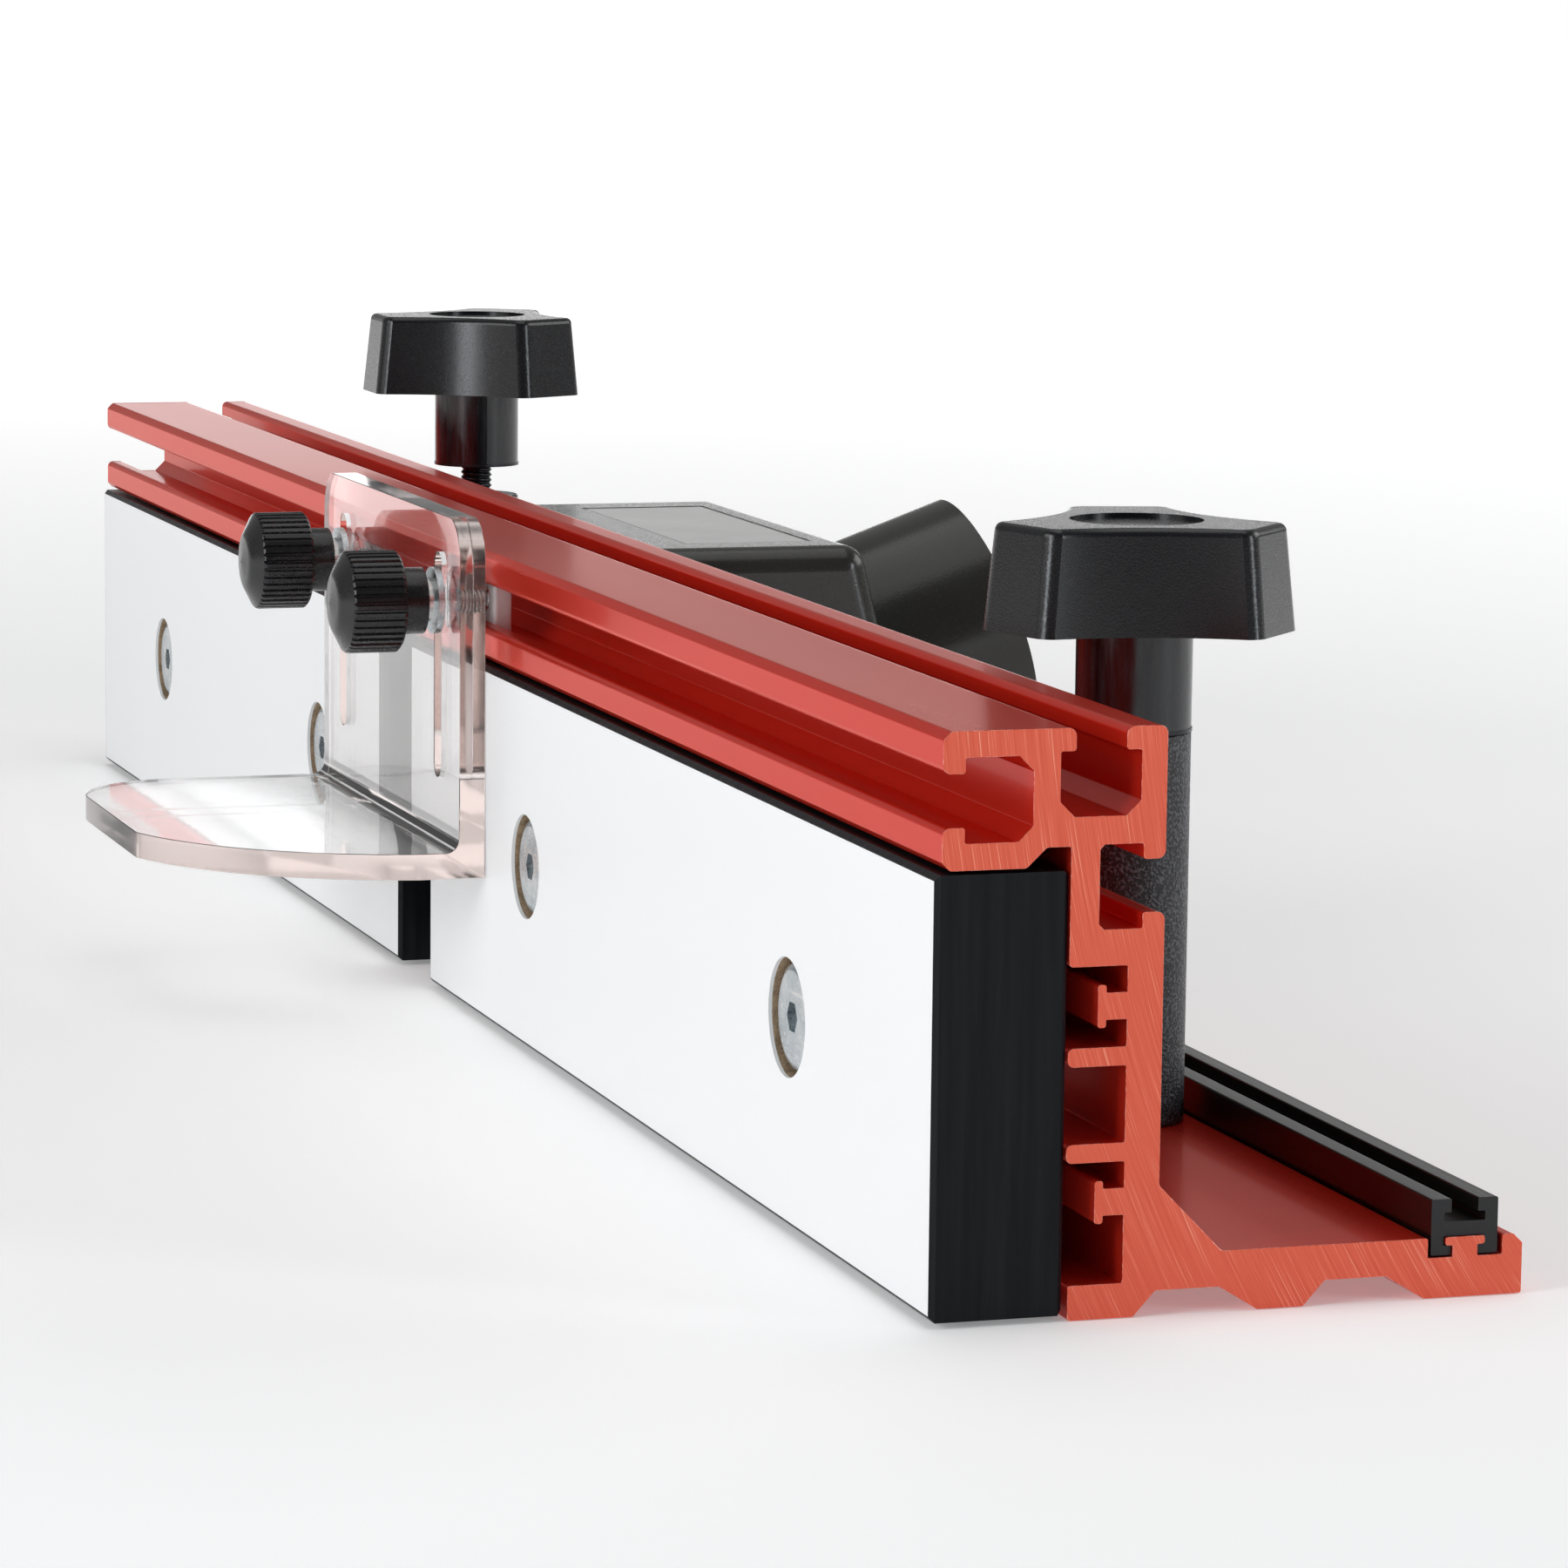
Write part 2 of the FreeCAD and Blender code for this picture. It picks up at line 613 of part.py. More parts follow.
def tee_bolt(x):
    """Screw whose square head slides in the front T-slot."""
    head_front = lip_front_y + slot_lip + slide_gap
    half_x = tee_head_x / 2
    half_z = slot_cavity / 2 - tee_head_room
    head = box(x - half_x, x + half_x, head_front, head_front + tee_head_thick,
               front_slot_z - half_z, front_slot_z + half_z)
    end = guard_front_y - tee_bolt_reach
    shank = rod(tee_bolt_d, head_front - end, V(x, end, front_slot_z), Y_AXIS)
    return head.fuse(shank)


def guard_spacer(x):
    """Thin washer that keeps the guard clear of the faces."""
    start = V(x, guard_back_y + slide_gap, front_slot_z)
    return tube(spacer_d, tee_screw_hole_d, spacer_thick - 2 * slide_gap, start, Y_AXIS)


def guard_washer(x):
    """Washer between the guard and the knob."""
    start = V(x, knob_start_y, front_slot_z)
    return tube(guard_washer_d, tee_screw_hole_d, guard_washer_thick, start, Y_AXIS)


def guard_insert(x):
    """Metal insert: a bright boss outside the collar and a threaded sleeve inside it."""
    start = V(x, knob_start_y, front_slot_z)
    boss = rod(guard_insert_d + 2 * boss_step, boss_length, start, -Y_AXIS)
    sleeve = rod(guard_insert_d, guard_insert_length, start, -Y_AXIS)
    bore = rod(tee_screw_hole_d, guard_insert_length, start, -Y_AXIS)
    return boss.fuse(sleeve).cut(bore)


def knurled_disc(x, y, length):
    """Ribbed cylinder of the knob, its outline a ring of shallow ribs."""
    step = 2 * math.pi / knurl_ribs
    points = []
    for i in range(knurl_ribs):
        for share, sunk in knurl_profile:
            angle = (i + share) * step
            radius = knurl_d / 2 - sunk * knurl_depth
            points.append(V(x + radius * math.cos(angle), y, front_slot_z + radius * math.sin(angle)))
    wire = Part.makePolygon(points + [points[0]])
    return Part.Face(wire).extrude(V(0, -length, 0))


def guard_knob(x):
    """Black knob: knurled body with a domed end and a plain collar."""
    start_y = knob_start_y - boss_length
    collar = rod(collar_d, collar_length, V(x, start_y, front_slot_z), -Y_AXIS)
    body_y = start_y - collar_length
    body = knurled_disc(x, body_y, knurl_length + knurl_dome)
    radius = knurl_d / 2
    end = knurl_length + knurl_dome
    form = [(0, 0, 0), (0, radius - knurl_edge, small_round), (knurl_edge, radius, groove_round),
            (knurl_length - knurl_edge, radius, rib_round),
            (end - knurl_edge, radius * knurl_dome_share, knurl_dome_r), (end, 0, 0)]
    form = revolve_about(form, V(x, body_y, front_slot_z), -Y_AXIS, X_AXIS)
    knob = collar.fuse(body.common(form))
    start = V(x, start_y, front_slot_z)
    seat = rod(guard_insert_d, guard_insert_length - boss_length, start, -Y_AXIS)
    bore = rod(tee_bolt_d + 4 * thread_gap, guard_bore_length - boss_length, start, -Y_AXIS)
    return knob.cut([seat, bore])


# ---------------------------------------------------------------- dust port
def hood_back_at(z):
    """Rear face of the hood at a height."""
    return hood_top_back_y + (hood_top_z - z) * math.tan(math.radians(hood_back_slope))


def hood_form(grow, radius, front_y):
    """Hood's solid form; a negative grow gives the inside."""
    low = hood_floor_z - grow
    high = hood_top_z + grow
    lean = grow / math.cos(math.radians(hood_back_slope))
    corners = [(front_y, low, 0), (hood_back_at(low) + lean, low, radius),
               (hood_back_at(high) + lean, high, 0), (front_y, high, 0)]
    half = hood_length / 2 + grow
    form = prism_x(corners, -half, half)
    edges = [edge for edge in form.Edges if edge.CenterOfMass.y > front_y + touch
             and (edge.CenterOfMass.z > high - touch or is_rear_upright(edge, half))]
    return form.makeFillet(radius, edges)


def is_rear_upright(edge, half):
    """True for the two sloping edges between the hood's sides and its rear face."""
    rise = edge.Vertexes[0].Z - edge.Vertexes[-1].Z
    return abs(abs(edge.CenterOfMass.x) - half) < touch and abs(rise) > hood_wall


def label_box(grow, z0, z1):
    """Block over the label's place on top of the hood."""
    back = hood_top_back_y - label_back_margin + grow
    half = label_length / 2 + grow
    return box(-half, half, back - label_width - 2 * grow, back, z0, z1)


def outlet_axis():
    """Direction of the outlet, out of its mouth."""
    tilt = math.radians(outlet_tilt)
    return V(0, math.cos(tilt), math.sin(tilt))


def outlet_rod(diameter, length):
    """Rod on the outlet's axis that ends at its mouth."""
    rim = V(0, hood_top_back_y + outlet_rim_back, hood_top_z - outlet_rim_drop)
    return rod(diameter, length, rim - outlet_axis() * length, outlet_axis())


def dust_hood():
    """Moulded hood, open to the bit opening, with a screw flange on each side."""
    outer = hood_form(0, hood_edge_r, fence_back_y)
    inner = hood_form(-hood_wall, hood_inner_r, fence_back_y - overshoot)
    flange_end = hood_length / 2 + hood_flange
    flange = box(-flange_end, flange_end, fence_back_y, fence_back_y + hood_flange_thick,
                 flange_low_z, flange_high_z)
    hood = outer.fuse(flange).cut(inner)
    holes = [rod(hood_screw_d, hood_flange_thick, V(x, fence_back_y, z), Y_AXIS)
             for x, z in hood_screw_places()]
    recess = label_box(label_gap, hood_top_z - label_recess, hood_top_z + overshoot)
    return hood.cut(holes + [recess, outlet_rod(outlet_d, outlet_length)])


def dust_label():
    """Blank label plate in the recess on top of the hood."""
    floor = hood_top_z - label_recess
    return label_box(0, floor, floor + label_thick)


def dust_outlet():
    """Hose spigot through the hood's rear wall, trimmed flush with the wall's inside."""
    pipe = outlet_rod(outlet_d, outlet_length)
    pipe = pipe.cut(outlet_rod(outlet_d - 2 * outlet_wall, outlet_length))
    return pipe.cut(hood_form(-hood_wall, hood_inner_r, 0))


def hood_screw(x, z):
    """Pan-headed socket screw through the flange into the wall."""
    flange_face = fence_back_y + hood_flange_thick
    start = V(x, flange_face - hood_screw_length, z)
    shank = rod(hood_screw_d, hood_screw_length, start, Y_AXIS)
    head = rod(hood_screw_head_d, hood_screw_head_thick, V(x, flange_face, z), Y_AXIS)
    top = V(x, flange_face + hood_screw_head_thick, z)
    rim = [edge for edge in head.Edges if edge.CenterOfMass.y > top.y - touch]
    head = head.makeFillet(hood_screw_head_r, rim)
    return shank.fuse(head).cut(hexagon(hood_screw_socket_af, hood_screw_socket_depth, top, -Y_AXIS))


# ---------------------------------------------------------------- clamp posts
def raised(side_name):
    """How far a clamp knob stands above its sleeve."""
    return left_knob_raised if side_name == "left" else 0.0


def clamp_stud(x):
    """Threaded stud, screwed into the base."""
    return rod(stud_d, stud_top_z - stud_bottom_z, V(x, post_y, stud_bottom_z), Z_AXIS)


def clamp_sleeve(x):
    """Tall spacer tube round the stud."""
    start = V(x, post_y, base_top_z)
    sleeve = tube(sleeve_d, sleeve_bore_d, sleeve_height, start, Z_AXIS)
    rims = [edge for edge in sleeve.Edges if edge.Curve.TypeId == "Part::GeomCircle"
            and abs(edge.Curve.Radius - sleeve_d / 2) < touch]
    return sleeve.makeChamfer(sleeve_edge, rims)


def clamp_washer(x, lift):
    """Thin thrust washer held under the knob's shank."""
    start = V(x, post_y, sleeve_top_z + lift)
    return tube(sleeve_d + 2 * thrust_washer_lip, sleeve_bore_d, thrust_washer_thick, start, Z_AXIS)


def knob_outline(scale, z, turn):
    """Three-lobed outline with hollow sides, at a height and turned about the post."""
    edges = []
    tips = []
    for lobe in range(knob_lobes):
        angle = math.radians(turn + 360 / knob_lobes * lobe)
        out = V(math.cos(angle), math.sin(angle), 0)
        side = V(-out.y, out.x, 0)
        tip = out * (knob_tip * scale)
        tips.append((tip - side * (knob_tip_half * scale), tip + side * (knob_tip_half * scale)))
    for lobe in range(knob_lobes):
        start, end = tips[lobe]
        after, beyond = tips[(lobe + 1) % knob_lobes]
        before = tips[lobe - 1][1]
        first = corner_arc(before, start, end, knob_lobe_r)
        second = corner_arc(start, end, after, knob_lobe_r)
        third = corner_arc(end, after, beyond, knob_lobe_r)
        middle = (second[2] + third[0]) * 0.5
        hollow = middle - V(middle).normalize() * (knob_side_hollow * scale)
        edges += [Part.Arc(*first).toShape(), Part.LineSegment(first[2], second[0]).toShape(),
                  Part.Arc(*second).toShape(), Part.Arc(second[2], hollow, third[0]).toShape()]
    wire = Part.Wire(edges)
    wire.translate(V(0, 0, z))
    return wire


def clamp_knob(x, lift, turn):
    """Three-lobed knob with a long shank, moulded in one piece."""
    seat = knob_seat_z + lift
    under = seat + shank_length
    top = under + knob_height
    head = Part.makeLoft([knob_outline(1.0, under, turn), knob_outline(knob_draft, top, turn)], True)
    head.translate(V(x, post_y, 0))
    rim = [edge for edge in head.Edges if min(v.Z for v in edge.Vertexes) > top - touch]
    head = head.makeFillet(knob_top_r, rim)
    dish = rod(knob_dish_d, knob_dish_depth, V(x, post_y, top - knob_dish_depth), Z_AXIS)
    shank = rod(sleeve_d, shank_length + overshoot, V(x, post_y, seat), Z_AXIS)
    insert_seat = rod(clamp_insert_d, clamp_insert_length, V(x, post_y, seat), Z_AXIS)
    bore = rod(sleeve_bore_d, knob_bore_depth, V(x, post_y, seat), Z_AXIS)
    return head.fuse(shank).cut([dish, insert_seat, bore])


def clamp_insert(x, lift):
    """Brass threaded insert in the knob's shank."""
    start = V(x, post_y, knob_seat_z + lift)
    return tube(clamp_insert_d, stud_d + 2 * thread_gap, clamp_insert_length, start, Z_AXIS)


# ---------------------------------------------------------------- all the parts
def fence_parts():
    parts = {"fence_body": fence_body()}
    for name, side in SIDES.items():
        bolts = bolt_positions(side)
        parts[name + "_jointing_packer"] = jointing_packer(side)
        parts[name + "_face_core"] = face_core(side)
        parts[name + "_face_front_laminate"] = face_laminate(side, True)
        parts[name + "_face_back_laminate"] = face_laminate(side, False)
        parts[name + "_face_edging"] = face_edging(side)
        parts[name + "_face_bolts"] = one([face_bolt(x) for x in bolts])
        parts[name + "_face_washers"] = one([face_washer(x) for x in bolts])
        parts[name + "_face_nuts"] = one([face_nut(x) for x in bolts])
    return parts


def guard_parts():
    places = {name: side * guard_bolt_pitch / 2 for name, side in SIDES.items()}
    parts = {"guard_plate": guard_plate(),
             "guard_tee_bolts": one([tee_bolt(x) for x in places.values()]),
             "guard_spacers": one([guard_spacer(x) for x in places.values()])}
    for name, x in places.items():
        parts[name + "_guard_washer"] = guard_washer(x)
        parts[name + "_guard_knob"] = guard_knob(x)
        parts[name + "_guard_knob_insert"] = guard_insert(x)
    return parts


def dust_port_parts():
    return {"dust_hood": dust_hood(), "dust_label": dust_label(), "dust_outlet": dust_outlet(),
            "dust_hood_screws": one([hood_screw(x, z) for x, z in hood_screw_places()])}


def clamp_parts():
    parts = {}
    for name, side in SIDES.items():
        x = side * post_x
        parts[name + "_clamp_stud"] = clamp_stud(x)
        parts[name + "_clamp_sleeve"] = clamp_sleeve(x)
        parts[name + "_clamp_washer"] = clamp_washer(x, raised(name))
        parts[name + "_clamp_knob"] = clamp_knob(x, raised(name), knob_turn[name])
        parts[name + "_clamp_knob_insert"] = clamp_insert(x, raised(name))
    return parts


os.makedirs("parts", exist_ok=True)
for part_maker in (fence_parts, guard_parts, dust_port_parts, clamp_parts):
    for node, shape in part_maker().items():
        shape.exportStep("parts/" + node + ".step")
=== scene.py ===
"""Router table fence: the looks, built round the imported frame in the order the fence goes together."""

import math

import bmesh
import bpy
from mathutils import Matrix, Vector


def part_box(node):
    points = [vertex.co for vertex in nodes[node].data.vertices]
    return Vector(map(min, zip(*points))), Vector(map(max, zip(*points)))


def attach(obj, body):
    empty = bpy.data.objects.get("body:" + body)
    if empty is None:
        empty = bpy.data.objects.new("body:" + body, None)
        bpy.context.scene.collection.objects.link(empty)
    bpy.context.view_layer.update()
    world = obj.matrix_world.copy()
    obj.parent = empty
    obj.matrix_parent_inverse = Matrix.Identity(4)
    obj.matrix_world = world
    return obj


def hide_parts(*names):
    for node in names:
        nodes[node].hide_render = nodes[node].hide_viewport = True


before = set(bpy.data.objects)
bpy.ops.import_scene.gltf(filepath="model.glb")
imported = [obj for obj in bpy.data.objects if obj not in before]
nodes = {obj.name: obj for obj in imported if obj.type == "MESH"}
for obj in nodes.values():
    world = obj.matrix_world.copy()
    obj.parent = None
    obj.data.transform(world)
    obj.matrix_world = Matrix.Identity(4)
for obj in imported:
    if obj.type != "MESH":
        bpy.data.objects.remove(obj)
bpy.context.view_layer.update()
SIDES = ("right", "left")


# ---------------------------------------------------------------- studio
# A pale floor under soft studio light: broad softboxes overhead, in front and behind, a cooler tall strip
# beside each of the last two, and a long low one past the far end that the top faces reflect at a glance.
# A bright surround fills the rest, and the floor glows with painted light: faint near the fence, full far
# off.
camera_place = Vector((1.46034, -0.36533, 0.26280))
camera_aim = Vector((-0.94365, 0.29989, -0.13995)).normalized()
camera_roll = math.radians(0.623)
camera_lens = 136.8
camera_sensor = 36.0
camera_reach = 60.0

across = camera_aim.cross(Vector((0, 0, 1))).normalized()
above = across.cross(camera_aim)
right_way = across * math.cos(camera_roll) + above * math.sin(camera_roll)
up_way = above * math.cos(camera_roll) - across * math.sin(camera_roll)
camera_data = bpy.data.cameras.new("studio camera")
camera_data.lens = camera_lens
camera_data.sensor_width = camera_sensor
camera_data.sensor_height = camera_sensor
camera_data.clip_end = camera_reach
camera = bpy.data.objects.new("studio camera", camera_data)
camera.matrix_world = (Matrix.Translation(camera_place)
                       @ Matrix((right_way, up_way, -camera_aim)).transposed().to_4x4())
bpy.context.scene.collection.objects.link(camera)
bpy.context.scene.camera = camera
bpy.context.scene.view_settings.view_transform = "Standard"
bpy.context.scene.view_settings.look = "None"
bpy.context.scene.view_settings.exposure = 0.0


def add_node(tree, kind, inputs=None, **settings):
    """A node in a tree, with its settings and the values of its unlinked inputs."""
    node = tree.nodes.new(kind)
    for name, value in settings.items():
        setattr(node, name, value)
    for name, value in (inputs or {}).items():
        node.inputs[name].default_value = value
    return node


def new_finish(name, color, roughness, metallic=0.0):
    """A material with its tree and its Principled shader, whose plain values are set here."""
    material = bpy.data.materials.new(name)
    material.use_nodes = True
    tree = material.node_tree
    shader = tree.nodes["Principled BSDF"]
    shader.inputs["Base Color"].default_value = (*color, 1.0)
    shader.inputs["Roughness"].default_value = roughness
    shader.inputs["Metallic"].default_value = metallic
    return material, tree, shader


def object_place(tree, scale=(1.0, 1.0, 1.0)):
    """Object coordinates, stretched by a scale along each axis."""
    source = add_node(tree, "ShaderNodeTexCoord")
    mapping = add_node(tree, "ShaderNodeMapping", {"Scale": scale})
    tree.links.new(source.outputs["Object"], mapping.inputs["Vector"])
    return mapping.outputs["Vector"]


def object_parts(tree):
    """The X, Y and Z outputs of the object coordinates."""
    source = add_node(tree, "ShaderNodeTexCoord")
    parts = add_node(tree, "ShaderNodeSeparateXYZ")
    tree.links.new(source.outputs["Object"], parts.inputs["Vector"])
    return parts.outputs


noise_span = (0.3, 0.7)


def spread(tree, value, low, high, out_low=0.0, out_high=1.0):
    """A value remapped from one span to another, held at the ends. A noise mostly fills noise_span."""
    node = add_node(tree, "ShaderNodeMapRange",
                    {"From Min": low, "From Max": high, "To Min": out_low, "To Max": out_high})
    tree.links.new(value, node.inputs["Value"])
    return node.outputs["Result"]


def blend_colors(tree, mask, first, second):
    """Two colours mixed by a mask; each may be a plain colour or an output."""
    node = add_node(tree, "ShaderNodeMix", data_type="RGBA")
    factor, a, b = node.inputs[0], node.inputs[6], node.inputs[7]
    tree.links.new(mask, factor)
    for socket, value in ((a, first), (b, second)):
        if isinstance(value, tuple):
            socket.default_value = (*value, 1.0)
        else:
            tree.links.new(value, socket)
    return node.outputs[2]


def blend_values(tree, mask, first, second):
    """Two numbers mixed by a mask; each may be a plain number or an output."""
    node = add_node(tree, "ShaderNodeMix", data_type="FLOAT")
    tree.links.new(mask, node.inputs[0])
    for socket, value in ((node.inputs[2], first), (node.inputs[3], second)):
        if isinstance(value, float):
            socket.default_value = value
        else:
            tree.links.new(value, socket)
    return node.outputs[0]


def calculate(tree, operation, first, second=None):
    """A Math node on one or two values."""
    node = add_node(tree, "ShaderNodeMath", operation=operation)
    for socket, value in zip(node.inputs, (first, second)):
        if value is None:
            continue
        if isinstance(value, float):
            socket.default_value = value
        else:
            tree.links.new(value, socket)
    return node.outputs[0]


def relief(tree, shader, height, depth, strength):
    """Feeds a height through a Bump node into the shader; depth is in metres."""
    bump = add_node(tree, "ShaderNodeBump", {"Strength": strength, "Distance": depth})
    tree.links.new(height, bump.inputs["Height"])
    tree.links.new(bump.outputs["Normal"], shader.inputs["Normal"])


black, white = (0.0, 0.0, 0.0), (1.0, 1.0, 1.0)
floor_tones = ((0.92, 0.92, 0.92), (0.94, 0.94, 0.94))
glow_start, glow_full, near_glow = 0.6, 3.2, 0.22
floor_half = 14.0
floor_gap = 0.0002
floor_finish, floor_tree, floor_shader = new_finish("pale floor", (0.93, 0.93, 0.93), 0.75)
floor_shader.inputs["Specular IOR Level"].default_value = 0.15
floor_tone = add_node(floor_tree, "ShaderNodeTexNoise", {"Scale": 0.7, "Detail": 2.0})
floor_tree.links.new(object_place(floor_tree), floor_tone.inputs["Vector"])
floor_tree.links.new(blend_colors(floor_tree, floor_tone.outputs["Fac"], *floor_tones),
                     floor_shader.inputs["Base Color"])
# Painted light: the floor glows by itself, faintly near the middle and fully far out. This lightens its
# shadows and fades it into the surround.
floor_spot = add_node(floor_tree, "ShaderNodeVectorMath", operation="LENGTH")
floor_tree.links.new(object_place(floor_tree), floor_spot.inputs[0])
floor_painted_glow = spread(floor_tree, floor_spot.outputs["Value"], glow_start, glow_full, near_glow)
floor_tree.links.new(blend_colors(floor_tree, floor_painted_glow, black, white), floor_shader.inputs["Emission Color"])
floor_shader.inputs["Emission Strength"].default_value = 1.0
floor_mesh = bpy.data.meshes.new("floor")
floor_mesh.from_pydata([(-floor_half, -floor_half, 0), (floor_half, -floor_half, 0),
                        (floor_half, floor_half, 0), (-floor_half, floor_half, 0)], [], [(0, 1, 2, 3)])
floor_mesh.materials.append(floor_finish)
floor = bpy.data.objects.new("floor", floor_mesh)
floor.location.z = -floor_gap
bpy.context.scene.collection.objects.link(floor)


def softbox(name, place, aim, size, power, color=white):
    """A rectangular area light turned to face a point."""
    data = bpy.data.lights.new(name, "AREA")
    data.shape = "RECTANGLE"
    data.size, data.size_y = size
    data.energy = power
    data.color = color
    lamp = bpy.data.objects.new(name, data)
    lamp.location = place
    lamp.rotation_euler = (Vector(aim) - Vector(place)).to_track_quat("-Z", "Y").to_euler()
    lamp.visible_camera = False
    lamp.visible_transmission = False
    bpy.context.scene.collection.objects.link(lamp)


cool_white = (0.90, 0.95, 1.0)
far_side_strength, near_side_strength = 0.32, 0.14
low_share = 0.85
softbox("overhead softbox", place=(0.0, 0.2, 2.2), aim=(0.0, 0.05, 0.0),
        size=(2.4, 1.4), power=10.0)
softbox("front softbox", place=(0.3, -1.9, 0.9), aim=(0.0, 0.0, 0.05),
        size=(1.6, 1.1), power=14.0)
softbox("front strip softbox", place=(0.95, -1.6, 0.55), aim=(0.3, 0.1, 0.1),
        size=(0.4, 0.9), power=9.0, color=cool_white)
softbox("rear softbox", place=(0.0, 2.0, 1.0), aim=(0.0, 0.1, 0.05),
        size=(1.5, 1.0), power=12.0)
softbox("rear strip softbox", place=(1.7, 1.6, 0.6), aim=(0.3, 0.1, 0.1),
        size=(0.4, 0.9), power=9.0, color=cool_white)
softbox("far strip softbox", place=(-4.0, 1.3, 0.25), aim=(0.4, 0.0, 0.25),
        size=(3.4, 0.5), power=11.0)


world = bpy.data.worlds.new("studio surround")
bpy.context.scene.world = world
world.use_nodes = True
sky = world.node_tree
surround = sky.nodes["Background"]
surround.inputs["Color"].default_value = (*white, 1.0)
sky_way = add_node(sky, "ShaderNodeTexCoord")
sky_parts = add_node(sky, "ShaderNodeSeparateXYZ")
sky.links.new(sky_way.outputs["Generated"], sky_parts.inputs["Vector"])
dim_side = spread(sky, sky_parts.outputs["X"], -0.6, 0.9, far_side_strength, near_side_strength)
lift = spread(sky, sky_parts.outputs["Z"], -0.1, 0.9, low_share)
seen = add_node(sky, "ShaderNodeLightPath")
through = calculate(sky, "GREATER_THAN", seen.outputs["Transmission Depth"], 0.5)
straight = calculate(sky, "MAXIMUM", seen.outputs["Is Camera Ray"], through)
sky.links.new(blend_values(sky, straight, calculate(sky, "MULTIPLY", dim_side, lift), 1.0),
              surround.inputs["Strength"])


# ---------------------------------------------------------------- fence extrusion
# The fence is one long aluminium extrusion, sawn to length and anodised red after sawing. Die lines
# leave faint broad bands along it, and each sawn end keeps the pale arcs of the blade and a thin burr,
# whose bright pale colour is partly the burr's own and partly a painted highlight along the sawn edges.
anodised_red = (0.66, 0.026, 0.012)
anodised_light = (0.70, 0.033, 0.015)
sawn_red = (0.90, 0.185, 0.115)
saw_mark_pale = (1.0, 0.50, 0.36)
sawn_low_tone = (0.74, 0.115, 0.066)
saw_mark_share = 0.75
red_edge_tint = (1.0, 0.42, 0.30)
sawn_depth = 0.00004
saw_centre = (0.336, 0.147)


def saw_arcs_group():
    """Shared marks of a large saw blade on a cut across X: Mask of the pale arcs, Height of the cut."""
    group = bpy.data.node_groups.new("saw arcs", "ShaderNodeTree")
    for name, value in (("Centre Y", saw_centre[0]), ("Centre Z", saw_centre[1]),
                        ("Fineness", 3600.0), ("Arc Length", 9.0), ("Threshold", 0.60)):
        group.interface.new_socket(name, in_out="INPUT", socket_type="NodeSocketFloat").default_value = value
    group.interface.new_socket("Mask", in_out="OUTPUT", socket_type="NodeSocketFloat")
    group.interface.new_socket("Height", in_out="OUTPUT", socket_type="NodeSocketFloat")
    source = add_node(group, "NodeGroupInput")
    sink = add_node(group, "NodeGroupOutput")
    parts = object_parts(group)
    dy = calculate(group, "SUBTRACT", parts["Y"], source.outputs["Centre Y"])
    dz = calculate(group, "SUBTRACT", parts["Z"], source.outputs["Centre Z"])
    far = calculate(group, "SQRT", calculate(group, "ADD", calculate(group, "MULTIPLY", dy, dy),
                                             calculate(group, "MULTIPLY", dz, dz)))
    angle = calculate(group, "ARCTAN2", dz, dy)
    rings = add_node(group, "ShaderNodeCombineXYZ")
    group.links.new(calculate(group, "MULTIPLY", far, source.outputs["Fineness"]), rings.inputs["X"])
    group.links.new(calculate(group, "MULTIPLY", angle, source.outputs["Arc Length"]), rings.inputs["Y"])
    noise = add_node(group, "ShaderNodeTexNoise", {"Scale": 1.0, "Detail": 3.0, "Roughness": 0.65})
    group.links.new(rings.outputs["Vector"], noise.inputs["Vector"])
    over = add_node(group, "ShaderNodeMapRange", {"From Max": 0.70, "To Min": 0.0, "To Max": 1.0})
    group.links.new(noise.outputs["Fac"], over.inputs["Value"])
    group.links.new(source.outputs["Threshold"], over.inputs["From Min"])
    group.links.new(over.outputs["Result"], sink.inputs["Mask"])
    group.links.new(noise.outputs["Fac"], sink.inputs["Height"])
    return group


def grain_group():
    """Shared fine grain: Height and Tone of a surface whose grains have the given size in metres."""
    group = bpy.data.node_groups.new("surface grain", "ShaderNodeTree")
    group.interface.new_socket("Grain", in_out="INPUT", socket_type="NodeSocketFloat").default_value = 0.0004
    group.interface.new_socket("Patch", in_out="INPUT", socket_type="NodeSocketFloat").default_value = 0.02
    group.interface.new_socket("Vector", in_out="INPUT", socket_type="NodeSocketVector")
    group.interface.new_socket("Height", in_out="OUTPUT", socket_type="NodeSocketFloat")
    group.interface.new_socket("Tone", in_out="OUTPUT", socket_type="NodeSocketFloat")
    source = add_node(group, "NodeGroupInput")
    sink = add_node(group, "NodeGroupOutput")
    for socket, out, detail in (("Grain", "Height", 2.0), ("Patch", "Tone", 4.0)):
        noise = add_node(group, "ShaderNodeTexNoise", {"Detail": detail, "Roughness": 0.6})
        group.links.new(source.outputs["Vector"], noise.inputs["Vector"])
        group.links.new(calculate(group, "DIVIDE", 1.0, source.outputs[socket]), noise.inputs["Scale"])
        group.links.new(noise.outputs["Fac"], sink.inputs[out])
    return group


saw_arcs = saw_arcs_group()
surface_grain = grain_group()


def place_grain(tree, grain, patch):
    """The grain group in a material, with its own sizes."""
    node = add_node(tree, "ShaderNodeGroup", node_tree=surface_grain)
    node.inputs["Grain"].default_value = grain
    node.inputs["Patch"].default_value = patch
    tree.links.new(object_place(tree), node.inputs["Vector"])
    return node


def cut_end_mask(tree, low, high):
    """1 on the two sawn ends of a piece that runs along X from low to high."""
    middle = (low + high) / 2
    off = calculate(tree, "ABSOLUTE", calculate(tree, "SUBTRACT", object_parts(tree)["X"], middle))
    return calculate(tree, "GREATER_THAN", off, (high - low) / 2 - sawn_depth)


def give(finish, *names):
    """Puts a finish on whole CAD parts."""
    for name in names:
        nodes[name].material_slots[0].material = finish


